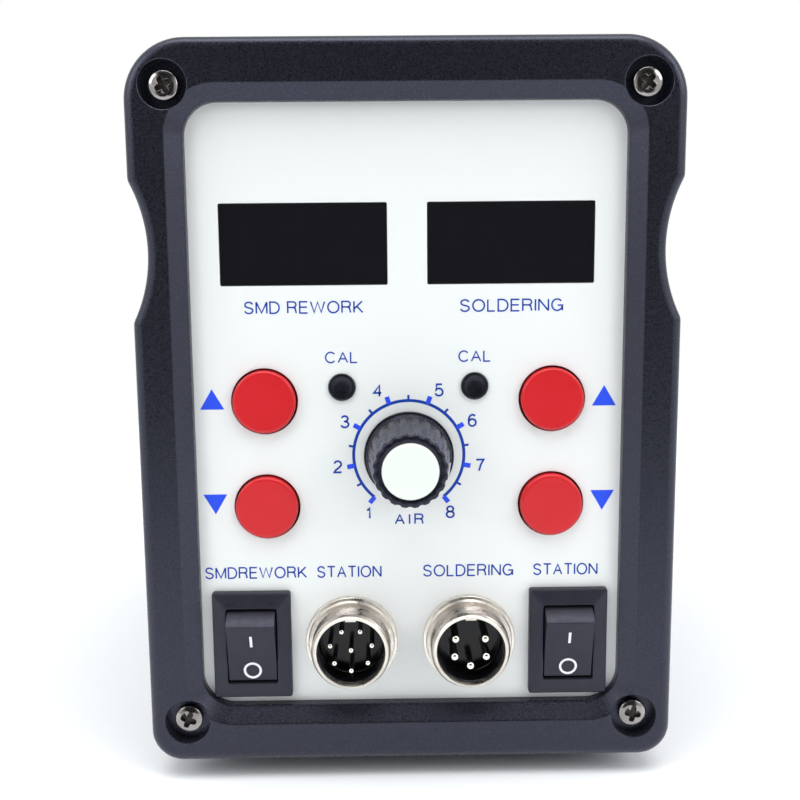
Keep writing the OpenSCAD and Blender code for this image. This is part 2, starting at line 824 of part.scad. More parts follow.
module fuse_drawer() {
    outer_y = inlet_y + inlet_flange_t;
    color([0.1, 0.1, 0.1]) difference() {
        translate([-drawer_w / 2, outer_y - drawer_depth, inlet_z + drawer_dz - drawer_h / 2])
            cube([drawer_w, drawer_depth, drawer_h]);
        translate([-fuse_len / 2 - 0.2, outer_y - drawer_depth + 1, inlet_z + drawer_dz - fuse_r - 0.2])
            cube([fuse_len + 0.4, 2 * fuse_r + 0.4, drawer_h]);
        translate([-8, outer_y - 1, inlet_z + drawer_dz + drawer_h / 2 - 1.5]) cube([16, 2, 2]);
    }
}

module fuse() {
    color([0.85, 0.85, 0.85])
        translate([0, inlet_y + inlet_flange_t - drawer_depth + fuse_r + 1.2, inlet_z + drawer_dz - 0.1])
            rotate([0, 90, 0]) cylinder(r = fuse_r, h = fuse_len, center = true);
}

front_bezel();
front_bezel_screws();
front_panel();
display_window(-1);  // display_window_left
display_window(1);  // display_window_right
led_display(-1);  // led_display_left
led_display(1);  // led_display_right
control_board();
board_standoffs();
board_screws();
ribbon_cable();
tact_switches();
push_button(-1, button_dz[0]);  // hot_air_up_button
push_button(-1, button_dz[1]);  // hot_air_down_button
push_button(1, button_dz[0]);  // iron_up_button
push_button(1, button_dz[1]);  // iron_down_button
air_knob();
knob_cap();
pot_shaft();
pot_body();
pot_nut();
cal_plug(-1);  // cal_plug_left
cal_plug(1);  // cal_plug_right
cal_trimmers();
cal_rotor(-1);  // cal_rotor_left
cal_rotor(1);  // cal_rotor_right
rocker_frame(-1);  // rocker_frame_left
rocker_frame(1);  // rocker_frame_right
rocker_paddle(-1);  // rocker_paddle_left
rocker_paddle(1);  // rocker_paddle_right
rocker_terminals();
socket_shell(-1);  // hot_air_socket_shell
socket_insert(-1, air_pins, 0.5);  // hot_air_socket_insert
socket_pins(-1, air_pins, 0.5);  // hot_air_socket_pins
socket_nut(-1);  // hot_air_socket_nut
socket_shell(1);  // iron_socket_shell
socket_insert(1, iron_pins, 0.8);  // iron_socket_insert
socket_pins(1, iron_pins, 0.8);  // iron_socket_pins
socket_nut(1);  // iron_socket_nut
case_cover();
case_base();
rear_bezel();
rear_bezel_screws();
rear_panel();
rubber_feet();
foot_screws();
transformer_core();
transformer_coil();
transformer_strap();
transformer_screws();
power_board();
power_board_pillars();
heatsink();
triac();
capacitors();
inlet_housing();
inlet_pins();
inlet_screws();
fuse_drawer();
fuse();
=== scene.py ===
"""Hot-air and soldering station: detailed meshes, materials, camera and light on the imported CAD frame.

Mesh code works in millimetres. Y runs from the front panel backwards, and Z is up.
"""

import math

import bmesh
import bpy
from mathutils import Euler, Matrix, Vector
from mathutils.geometry import delaunay_2d_cdt


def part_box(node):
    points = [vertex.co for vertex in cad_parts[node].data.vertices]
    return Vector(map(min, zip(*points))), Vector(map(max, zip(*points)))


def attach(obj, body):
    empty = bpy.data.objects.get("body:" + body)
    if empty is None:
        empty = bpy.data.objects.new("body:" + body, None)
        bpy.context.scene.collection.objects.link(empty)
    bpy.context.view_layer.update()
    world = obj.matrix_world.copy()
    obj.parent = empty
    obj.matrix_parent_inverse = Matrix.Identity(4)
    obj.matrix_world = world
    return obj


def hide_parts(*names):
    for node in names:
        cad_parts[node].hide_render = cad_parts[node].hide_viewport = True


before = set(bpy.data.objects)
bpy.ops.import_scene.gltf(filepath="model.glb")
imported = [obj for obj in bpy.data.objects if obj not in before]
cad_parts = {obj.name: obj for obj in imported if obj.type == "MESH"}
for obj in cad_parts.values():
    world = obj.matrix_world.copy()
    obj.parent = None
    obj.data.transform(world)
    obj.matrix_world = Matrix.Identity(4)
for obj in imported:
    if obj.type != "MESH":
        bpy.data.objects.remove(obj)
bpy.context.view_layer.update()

MM = 0.001
SAME_POINT = 0.0005 * MM


# ---------- places, in millimetres, from the CAD nodes ----------

def box(node):
    low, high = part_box(node)
    return low / MM, high / MM


def middle(node):
    low, high = box(node)
    return (low + high) / 2


def size(node):
    low, high = box(node)
    return high - low


PANEL_Y = box("front_panel")[0].y
DIAL = Vector((0, PANEL_Y, middle("air_knob").z))
FRONT_Y = box("front_bezel")[0].y
BACK_Y = box("rear_bezel")[1].y
MID_Z = middle("front_bezel").z
BEZEL_W = size("front_bezel").x
BEZEL_H = size("front_bezel").z
BEZEL_DEPTH = size("front_bezel").y
WINDOW_Z = middle("front_panel").z
PANEL_LAP = 1.8
PANEL_T = size("front_panel").y
WINDOW_W = size("front_panel").x - 2 * PANEL_LAP
WINDOW_H = size("front_panel").z - 2 * PANEL_LAP
WINDOW_R = 6
SCREW_X, SCREW_Z = 42.9, 59.3
SCREWS = [(x, MID_Z + z) for x in (-SCREW_X, SCREW_X) for z in (-SCREW_Z, SCREW_Z)]
WAIST_Z = DIAL.z + 38.4
KNOB_ANGLE = 100
SIDES = {"left": -1, "right": 1}


# ---------- mesh building ----------

def bow(x, z, rx, rz, start, end, steps=None):
    """Points along an ellipse from angle start to angle end, in degrees, both ends included."""
    steps = steps or max(2, round(abs(end - start) / 15))
    turns = [math.radians(start + (end - start) * i / steps) for i in range(steps + 1)]
    return [(x + rx * math.cos(t), z + rz * math.sin(t)) for t in turns]


def arc(x, z, radius, start, end, steps):
    return bow(x, z, radius, radius, start, end, steps)


def disc(x, z, radius, steps=64):
    """A round outline as a function of how far it grows."""
    return lambda grow=0: arc(x, z, radius + grow, 0, 360 - 360 / steps, steps - 1)


def rounded(x, z, width, height, radius, steps=12):
    """A rounded rectangle as a function of how far it grows."""
    def outline(grow=0):
        w, h = width / 2 - radius, height / 2 - radius
        r = max(radius + grow, 0.01)
        slack = radius + grow - r
        points = []
        for sx, sz, a in ((1, -1, -90), (1, 1, 0), (-1, 1, 90), (-1, -1, 180)):
            points += arc(x + sx * (w + slack), z + sz * (h + slack), r, a, a + 90, steps)
        return points
    return outline


def bezel_outline(inset=0):
    """The bezel's outer edge, with its finger hollows, moved inwards by inset."""
    half_w, low, high = BEZEL_W / 2, MID_Z - BEZEL_H / 2, MID_Z + BEZEL_H / 2
    top_r, bottom_r, depth, chord, blend_r = 11, 6, 3.1, 25.4, 2.6
    hollow_r = (chord ** 2 / 4 + depth ** 2) / (2 * depth)
    reach = hollow_r + blend_r - depth
    rise = math.sqrt((hollow_r + blend_r) ** 2 - reach ** 2)
    lean = math.degrees(math.atan2(rise, reach))
    hollow_x = half_w - blend_r + reach
    right = arc(half_w - bottom_r, low + bottom_r, bottom_r - inset, -90, 0, 12)
    right += arc(half_w - blend_r, WAIST_Z - rise, blend_r - inset, 0, lean, 5)
    right += arc(hollow_x, WAIST_Z, hollow_r + inset, 180 + lean, 180 - lean, 24)[1:-1]
    right += arc(half_w - blend_r, WAIST_Z + rise, blend_r - inset, -lean, 0, 5)
    right += arc(half_w - top_r, high - top_r, top_r - inset, 0, 90, 18)
    return right + [(-x, z) for x, z in reversed(right)]


def fillet(radius, steps=5):
    """A quarter round as (inset, depth) pairs, from the wall to the face."""
    angles = [math.pi / 2 * i / steps for i in range(steps + 1)]
    return [(radius * (1 - math.cos(a)), radius * (1 - math.sin(a))) for a in angles]


def odd_crossings(point, sides):
    """True for a point inside an outline and outside the holes in it."""
    hits = 0
    for a, b in sides:
        if (a.y > point.y) != (b.y > point.y):
            hits += point.x < a.x + (point.y - a.y) * (b.x - a.x) / (b.y - a.y)
    return hits % 2 == 1


class Shape:
    """Vertices and faces in millimetres. Faces carry a material number."""

    def __init__(self):
        self.verts = []
        self.faces = []
        self.marks = []

    def add(self, verts, faces, mark=0):
        first = len(self.verts)
        self.verts += [tuple(v) for v in verts]
        self.faces += [tuple(first + i for i in f) for f in faces]
        self.marks += [mark] * len(faces)

    def skin(self, rings, mark=0):
        """Quads between neighbouring rings."""
        count = len(rings[0])
        faces = []
        for i in range(len(rings) - 1):
            for j in range(count):
                a, b = i * count, (i + 1) * count
                k = (j + 1) % count
                faces.append((a + j, a + k, b + k, b + j))
        self.add([p for ring in rings for p in ring], faces, mark)

    def sweep(self, outline, profile):
        """Walls that follow an outline: profile is (growth, y)."""
        self.skin([[(x, y, z) for x, z in outline(grow)] for grow, y in profile])

    def flat(self, y, outer, holes=()):
        """A flat face at y between an outer outline and its holes."""
        points, edges = [], []
        for loop in (outer, *holes):
            first, count = len(points), len(loop)
            points += [Vector(p) for p in loop]
            edges += [(first + i, first + (i + 1) % count) for i in range(count)]
        verts, _, faces, *_ = delaunay_2d_cdt(points, edges, [], 0, 1e-6)
        sides = [(points[a], points[b]) for a, b in edges]
        middles = [sum((verts[i] for i in f), Vector((0, 0))) / len(f) for f in faces]
        kept = [f for f, centre in zip(faces, middles) if odd_crossings(centre, sides)]
        self.add([(p.x, y, p.y) for p in verts], kept)

    def turn(self, profile, x, z, y0, way, sides, mark=0, radius=None):
        """A surface of revolution about Y: profile is (radius, height), and height runs along way.

        Where radius is given, it reshapes each (radius, height, angle) of the profile.
        """
        rings = []
        for r, h in profile:
            ring = []
            for i in range(sides):
                a = 2 * math.pi * i / sides
                q = radius(r, h, a) if radius else r
                ring.append((x + q * math.sin(a), y0 + way * h, z + q * math.cos(a)))
            rings.append(ring)
        self.skin(rings, mark)

    def prism(self, loop, y0, y1):
        """A closed slab with a given outline between two planes."""
        self.skin([[(x, y, z) for x, z in loop] for y in (y0, y1)])
        self.flat(y0, loop)
        self.flat(y1, loop)

    def move(self, matrix):
        self.verts = [tuple(matrix @ Vector(v)) for v in self.verts]


def weighted(obj):
    modifier = obj.modifiers.new("even_normals", "WEIGHTED_NORMAL")
    modifier.keep_sharp = True
    modifier.weight = 60


def solid(name, shape):
    """Makes a shape into an object, with its seams closed and its faces outwards."""
    mesh = bpy.data.meshes.new(name)
    mesh.from_pydata([Vector(v) * MM for v in shape.verts], [], shape.faces)
    mesh.polygons.foreach_set("material_index", shape.marks)
    bm = bmesh.new()
    bm.from_mesh(mesh)
    bmesh.ops.remove_doubles(bm, verts=bm.verts, dist=SAME_POINT)
    bmesh.ops.dissolve_degenerate(bm, edges=bm.edges, dist=0.4 * SAME_POINT)
    bmesh.ops.recalc_face_normals(bm, faces=bm.faces)
    bm.to_mesh(mesh)
    bm.free()
    obj = bpy.data.objects.new(name, mesh)
    bpy.context.scene.collection.objects.link(obj)
    return obj


def drill(obj, shape):
    """Cuts a shape out of an object."""
    cutter = solid("cutter", shape)
    modifier = obj.modifiers.new("holes", "BOOLEAN")
    modifier.operation = "DIFFERENCE"
    modifier.solver = "EXACT"
    modifier.object = cutter
    cut = obj.evaluated_get(bpy.context.evaluated_depsgraph_get())
    obj.data = bpy.data.meshes.new_from_object(cut)
    obj.modifiers.remove(modifier)
    bpy.data.objects.remove(cutter)


def piece(name, shape, finishes, body, replaces=(), angle=32, holes=None):
    """Makes a shape into a finished object that rides on a body."""
    obj = solid(name, shape)
    if holes:
        drill(obj, holes)
    obj.data.shade_smooth()
    obj.data.set_sharp_from_angle(angle=math.radians(angle))
    for finish in finishes:
        obj.data.materials.append(finish)
    weighted(obj)
    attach(obj, body)
    if replaces:
        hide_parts(*replaces)


def soften(node, finish, width):
    """Gives a CAD node its finish, and a fine round along its edges."""
    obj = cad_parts[node]
    mesh = obj.data
    mesh.materials.clear()
    mesh.materials.append(finish)
    if "custom_normal" in mesh.attributes:
        mesh.attributes.remove(mesh.attributes["custom_normal"])
    mesh.shade_smooth()
    weld = obj.modifiers.new("weld", "WELD")
    weld.merge_threshold = SAME_POINT
    merge = obj.modifiers.new("merge_flats", "DECIMATE")
    merge.decimate_type = "DISSOLVE"
    merge.angle_limit = math.radians(0.5)
    bevel = obj.modifiers.new("round_edges", "BEVEL")
    bevel.width = width * MM
    bevel.segments = 2
    bevel.limit_method = "ANGLE"
    bevel.angle_limit = math.radians(35)
    bevel.use_clamp_overlap = True
    bevel.harden_normals = False
    weighted(obj)


# ---------- materials ----------

class Finish:
    """A procedural material: constants sit on the shader's own sockets, patterns use object coordinates."""

    def __init__(self, name, colour, roughness, metallic=0.0, **sockets):
        self.material = bpy.data.materials.new(name)
        self.material.use_nodes = True
        self.nodes = self.material.node_tree.nodes
        self.links = self.material.node_tree.links
        self.shader = next(n for n in self.nodes if n.type == "BSDF_PRINCIPLED")
        self.colour = (*colour, 1)
        self.set("Base Color", self.colour)
        self.set("Roughness", roughness)
        self.set("Metallic", metallic)
        for socket, value in sockets.items():
            self.set(socket.replace("_", " "), value)
        self.place = self.nodes.new("ShaderNodeTexCoord").outputs["Object"]

    def set(self, socket, value):
        self.shader.inputs[socket].default_value = value

    def stretched(self, scales):
        """Coordinates scaled along each axis, for grain with a direction."""
        node = self.nodes.new("ShaderNodeMapping")
        node.inputs["Scale"].default_value = scales
        self.links.new(self.place, node.inputs["Vector"])
        return node.outputs["Vector"]

    def noise(self, grain, detail=2.0, roughness=0.5, place=None):
        """Noise whose lumps are about grain millimetres across."""
        node = self.nodes.new("ShaderNodeTexNoise")
        node.inputs["Scale"].default_value = 1 / (grain * MM)
        node.inputs["Detail"].default_value = detail
        node.inputs["Roughness"].default_value = roughness
        self.links.new(place or self.place, node.inputs["Vector"])
        return node.outputs["Fac"]

    def cells(self, grain):
        """Distance from the middle of scattered cells about grain millimetres apart."""
        node = self.nodes.new("ShaderNodeTexVoronoi")
        node.inputs["Scale"].default_value = 1 / (grain * MM)
        self.links.new(self.place, node.inputs["Vector"])
        return node.outputs["Distance"]

    def span(self, source, low, high, new_low=0.0, new_high=1.0):
        """Maps the range low to high onto new_low to new_high."""
        node = self.nodes.new("ShaderNodeMapRange")
        limits = {"From Min": low, "From Max": high, "To Min": new_low, "To Max": new_high}
        for socket, value in limits.items():
            node.inputs[socket].default_value = value
        self.links.new(source, node.inputs["Value"])
        return node.outputs["Result"]

    def tint(self, factor, colour):
        """Mixes another colour over what the surface already has."""
        node = self.nodes.new("ShaderNodeMix")
        node.data_type = "RGBA"
        colours = [s for s in node.inputs if s.type == "RGBA"]
        base = self.shader.inputs["Base Color"]
        if base.links:
            self.links.new(base.links[0].from_socket, colours[0])
        else:
            colours[0].default_value = self.colour
        colours[1].default_value = (*colour, 1)
        self.links.new(factor, node.inputs["Factor"])
        self.links.new(next(s for s in node.outputs if s.type == "RGBA"), base)

    def rough(self, source):
        self.links.new(source, self.shader.inputs["Roughness"])

    def bump(self, source, height):
        """Relief of about height millimetres, on top of any earlier bump."""
        node = self.nodes.new("ShaderNodeBump")
        node.inputs["Distance"].default_value = height * MM
        node.inputs["Strength"].default_value = 1.0
        normal = self.shader.inputs["Normal"]
        if normal.links:
            self.links.new(normal.links[0].from_socket, node.inputs["Normal"])
        self.links.new(source, node.inputs["Height"])
        self.links.new(node.outputs["Normal"], normal)


def spark_plastic(name, colour, painted_glint, roughness, relief, sheen):
    """Moulded plastic with a fine spark-eroded texture, scattered painted glints in its colour and a cool
    sheen.
    """
    f = Finish(name, colour, roughness, Specular_IOR_Level=0.65, Specular_Tint=sheen)
    f.bump(f.noise(0.16, 1), relief)
    # painted glints: fine lighter specks in the colour that stand in for highlights off the grain
    f.tint(f.span(f.noise(0.19, 1), 0.4, 0.8), painted_glint)
    # painted glints: scattered lighter cells in the colour
    f.tint(f.span(f.cells(0.8), 0.1, 0.03, 0, 0.35), (0.12, 0.12, 0.14))
    f.rough(f.span(f.noise(0.3, 1), 0.3, 0.7, roughness - 0.08, roughness + 0.1))
    return f.material


def glossy(name, colour, other, roughness, lump, detail, share):
    """Smooth paint or plastic whose colour drifts towards another, with a faint wave in its surface."""
    f = Finish(name, colour, roughness, Specular_IOR_Level=0.4)
    f.tint(f.span(f.noise(lump, detail), 0.35, 0.7, 0, share), other)
    f.bump(f.noise(3, detail), 0.004)
    return f.material


def moulded(name, colour, roughness, worn=None, relief=0.004, **sockets):
    """Plain moulded plastic or rubber: faint mottling, faint orange peel, uneven gloss."""
    f = Finish(name, colour, roughness, **sockets)
    worn = worn or tuple(min(1, c * 1.35 + 0.01) for c in colour)
    f.tint(f.span(f.noise(4, 3), 0.35, 0.75, 0, 0.3), worn)
    f.rough(f.span(f.noise(1.1, 2), 0.3, 0.7, roughness * 0.85, roughness * 1.2))
    f.bump(f.noise(0.6, 3), relief)
    return f.material


def plated(name, colour, shade, roughness, grain=(1, 1, 1), relief=0.003):
    """Plated or rolled metal with cloudy tarnish and fine handling marks."""
    f = Finish(name, colour, roughness, 1.0)
    f.tint(f.span(f.noise(3, 4), 0.38, 0.72, 0, 0.55), shade)
    f.rough(f.span(f.noise(1.3, 3), 0.3, 0.7, roughness * 0.7, roughness * 1.5))
    f.bump(f.noise(0.5, 4, 0.6, f.stretched(grain)), relief)
    return f.material


COOL = {"Specular_Tint": (0.75, 0.78, 1, 1)}
# the third colour of each spark plastic is its painted glint
BEZEL = spark_plastic(
    "bezel_plastic", (0.004, 0.0045, 0.006), (0.02, 0.021, 0.029), 0.3, 0.025, (0.7, 0.73, 1, 1))
CASE = spark_plastic(
    "case_coat", (0.012, 0.012, 0.014), (0.03, 0.03, 0.033), 0.5, 0.05, (0.9, 0.92, 1, 1))
PANEL = glossy("panel_white", (0.82, 0.85, 0.84), (0.83, 0.84, 0.845), 0.2, 30, 2, 0.5)
RED = glossy("button_red", (0.58, 0.013, 0.018), (0.63, 0.016, 0.024), 0.3, 7, 1, 0.6)
SMOKED = moulded("smoked_window", (0.007, 0.007, 0.009), 0.07, (0.01, 0.009, 0.012), 0.001)
KNOB = moulded(
    "knob_black", (0.006, 0.006, 0.009), 0.25, (0.012, 0.012, 0.018), 0.0015,
    Specular_Tint=(0.68, 0.7, 1, 1))
CAP = moulded("cap_white", (0.79, 0.85, 0.79), 0.16, (0.8, 0.84, 0.79), 0.002)
ROCKER = moulded("rocker_black", (0.012, 0.012, 0.017), 0.38, (0.02, 0.02, 0.028), 0.02, **COOL)
SWITCH = moulded("switch_black", (0.014, 0.014, 0.015), 0.45)
RUBBER = moulded("rubber_black", (0.006, 0.006, 0.008), 0.5, (0.014, 0.014, 0.017), 0.02)
PLUG = moulded("plug_black", (0.003, 0.003, 0.004), 0.3, (0.008, 0.008, 0.01), 0.006, **COOL)
INSERT = moulded(
    "insert_black", (0.003, 0.003, 0.004), 0.14, (0.006, 0.006, 0.008), 0.001, Specular_IOR_Level=0.3)
BLUE = moulded(
    "print_blue", (0.001, 0.048, 0.38), 0.45, (0.002, 0.057, 0.42), 0.001, Specular_IOR_Level=0.25)
BRIGHT_BLUE = moulded(
    "print_bright_blue", (0.025, 0.085, 0.85), 0.45, (0.02, 0.07, 0.75), 0.001, Specular_IOR_Level=0.25)
WHITE_PRINT = moulded("print_white", (0.85, 0.85, 0.88), 0.4, (0.78, 0.78, 0.8), 0.001)
TRIMMER_BLUE = moulded("trimmer_blue", (0.015, 0.04, 0.3), 0.4)
TRIMMER_WHITE = moulded("trimmer_white", (0.82, 0.82, 0.78), 0.4)
EPOXY = moulded("display_epoxy", (0.03, 0.03, 0.032), 0.5)
BOARD = moulded("circuit_board", (0.01, 0.09, 0.035), 0.25)
RIBBON = moulded("ribbon_grey", (0.42, 0.42, 0.45), 0.5)
TAPE = moulded("coil_tape", (0.6, 0.36, 0.03), 0.25)
SLEEVE = moulded("capacitor_sleeve", (0.015, 0.03, 0.1), 0.25)
GLASS = moulded("fuse_glass", (0.8, 0.82, 0.82), 0.1)
NICKEL = plated("nickel_plate", (0.8, 0.76, 0.69), (0.62, 0.56, 0.48), 0.33, relief=0.001)
# darker nickel for the thread rows: painted shade of the grooves, with some grime
THREAD_GRIME_AND_SHADE = plated("thread_nickel_grime_and_shade", (0.4, 0.37, 0.34), (0.3, 0.27, 0.24), 0.3, relief=0.001)
SCREW = plated("screw_nickel", (0.34, 0.32, 0.31), (0.16, 0.14, 0.13), 0.13)
RECESS = plated("recess_shadow", (0.07, 0.065, 0.06), (0.03, 0.03, 0.03), 0.5)
STEEL = plated("zinc_steel", (0.62, 0.62, 0.64), (0.5, 0.5, 0.5), 0.3)
CORE = plated("core_steel", (0.3, 0.3, 0.33), (0.2, 0.19, 0.18), 0.45, (1, 9, 1), 0.02)
CONTACT = plated("contact_metal", (0.9, 0.88, 0.82), (0.72, 0.68, 0.58), 0.14)
POT = plated("pot_metal", (0.56, 0.56, 0.55), (0.42, 0.43, 0.4), 0.38)
ALUMINIUM = plated("bare_aluminium", (0.72, 0.72, 0.74), (0.58, 0.58, 0.6), 0.36, (1, 1, 0.05))


# ---------- pieces ----------

def cross_screw(shape, head_r, head_h, shank_r, length, x, seat_y, z, way, stop, deep=1.2):
    """Adds a domed screw: head above seat_y along way, shank the other way, its cross turned by stop.

    A negative radius in the profile is a multiple of the cross's own outline.
    """
    side_h, arm_w, arm_len = 0.7 * head_h, 0.21 * head_r, 0.58 * head_r
    top_of_cross, rim_of_cross = 1.12, 1.04

    def dome(r):
        return side_h + (head_h - side_h) * (1 - (r / head_r) ** 2)

    def cross(r, h, a):
        if r >= 0:
            return r
        off = abs((a - math.radians(stop) + math.pi / 4) % (math.pi / 2) - math.pi / 4)
        side = arm_w / max(math.sin(off), 0.01)
        return -r * (side ** -5 + arm_len ** -5) ** -0.2

    brink = (-rim_of_cross, dome(arm_len) - 0.03)
    profile = [(0, -length), (shank_r, -length), (shank_r, 0), (head_r - 0.1, 0), (head_r, 0.1)]
    profile += [(head_r, side_h - 0.1), (head_r - 0.02, side_h - 0.03), (head_r - 0.07, side_h + 0.01)]
    profile += [(head_r * k, dome(head_r * k)) for k in (0.95, 0.9, 0.8, 0.7)]
    profile += [(-top_of_cross, dome(top_of_cross * arm_len)), brink]
    shape.turn(profile, x, z, seat_y, way, 96, radius=cross)
    recess = [brink, (-0.98, head_h - 0.1 * deep - 0.08), (-0.9, head_h - 0.85 * deep)]
    recess += [(0.25, head_h - 0.95 * deep), (0, head_h - deep)]
    shape.turn(recess, x, z, seat_y, way, 96, 1, cross)


def bezel(name, outer_y, way, window_z, slope, sink, screws):
    """A moulded frame: outer edge, finger hollows, sloping rim, screw pockets and the seats behind."""
    edge, ease, lip, chamfer = 1.7, 0.15, 0.3, 0.3
    slope_w, slope_d = slope
    pocket_r, bore_r = 4.25, 1.7
    head_r, head_h, shank_r, length = 2.65, 2.0, 1.4, 14
    pocket_depth = min(abs(corner.y - outer_y) for corner in box(screws)) + head_h
    case_w, case_h = size("case_cover").x, 2 * (box("case_cover")[1].z - MID_Z)
    lap, wall, gap = 3, 2, 0.15

    def y(depth):
        return outer_y + way * depth

    window = rounded(0, window_z, WINDOW_W, WINDOW_H, WINDOW_R)
    seat = rounded(0, window_z, WINDOW_W + 2 * PANEL_LAP, WINDOW_H + 2 * PANEL_LAP, WINDOW_R + 2)
    bore = rounded(0, MID_Z, case_w - 2 * wall, case_h - 2 * wall, 12)
    socket = rounded(0, MID_Z, case_w + 2 * gap, case_h + 2 * gap, 4)
    shape = Shape()
    rim = [(d, y(h)) for d, h in fillet(edge)]
    shape.sweep(bezel_outline, [(0, y(BEZEL_DEPTH)), *rim, (edge + ease, y(0))])
    shape.flat(y(0), bezel_outline(edge + ease), [window(slope_w + lip)])
    shape.sweep(window, [
        (slope_w + lip, y(0)), (slope_w + 0.1, y(0.03)), (slope_w - 0.15, y(0.12)),
        (lip + 0.1, y(slope_d - 0.1)), (0.1, y(slope_d + 0.05)), (0, y(slope_d + lip)), (0, y(sink)),
    ])
    shape.flat(y(sink), seat(), [window()])
    shape.sweep(seat, [(0, y(sink)), (0, y(sink + PANEL_T))])
    shape.flat(y(sink + PANEL_T), bore(), [seat()])
    shape.sweep(bore, [(0, y(sink + PANEL_T)), (0, y(BEZEL_DEPTH - lap))])
    shape.flat(y(BEZEL_DEPTH - lap), socket(), [bore()])
    shape.sweep(socket, [(0, y(BEZEL_DEPTH - lap)), (0, y(BEZEL_DEPTH))])
    shape.flat(y(BEZEL_DEPTH), bezel_outline(), [socket()])
    pocket = [(0, -1), (pocket_r + chamfer, -1), (pocket_r + chamfer, -0.01), (pocket_r + 0.17, 0.02)]
    pocket += [(pocket_r + 0.07, 0.1), (pocket_r, chamfer), (pocket_r, pocket_depth)]
    pocket += [(bore_r, pocket_depth), (bore_r, BEZEL_DEPTH + 1), (0, BEZEL_DEPTH + 1)]
    holes = Shape()
    for x, z in SCREWS:
        holes.turn(pocket, x, z, outer_y, way, 72)
    piece(name, shape, [BEZEL], "housing", [name], holes=holes)

    heads = Shape()
    for (x, z), stop in zip(SCREWS, (22, 61, 10, 40)):
        cross_screw(heads, head_r, head_h, shank_r, length, x, y(pocket_depth), z, -way, stop)
    heads_name = screws.replace("screws", "screw_heads")
    piece(heads_name, heads, [SCREW, RECESS], "housing", [screws])


def panel():
    """The white control panel with all its openings."""
    low, high = box("front_panel")
    button_r, shaft_r, soft = 6.225, 3.6, 0.12
    rocker_w, rocker_h = 13.4, 19.2
    window = size("display_window_left") + Vector((0.1, 0, 0.1))
    oblong = {"display_window_left": (window.x, window.z), "rocker_frame_left": (rocker_w, rocker_h)}
    round_holes = {
        "hot_air_up_button": button_r, "hot_air_down_button": button_r,
        "cal_plug_left": 2.0, "hot_air_socket_shell": 7.6,
    }
    openings = []
    for s in SIDES.values():
        for node, (w, h) in oblong.items():
            c = middle(node)
            openings.append(rounded(s * abs(c.x), c.z, w, h, 0.3, 4))
        for node, r in round_holes.items():
            c = middle(node)
            openings.append(disc(s * abs(c.x), c.z, r))
    openings.append(disc(0, DIAL.z, shaft_r, 32))
    outline = rounded(0, WINDOW_Z, high.x - low.x, high.z - low.z, WINDOW_R + 2)
    shape = Shape()
    shape.flat(low.y, outline(-soft), [o(soft) for o in openings])
    shape.flat(high.y, outline(), [o() for o in openings])
    shape.sweep(outline, [(-soft, low.y), (0, low.y + soft), (0, high.y)])
    for o in openings:
        shape.sweep(o, [(soft, low.y), (0.03, low.y + 0.04), (0, low.y + soft), (0, high.y)])
    piece("control_panel", shape, [PANEL], "housing", ["front_panel"])


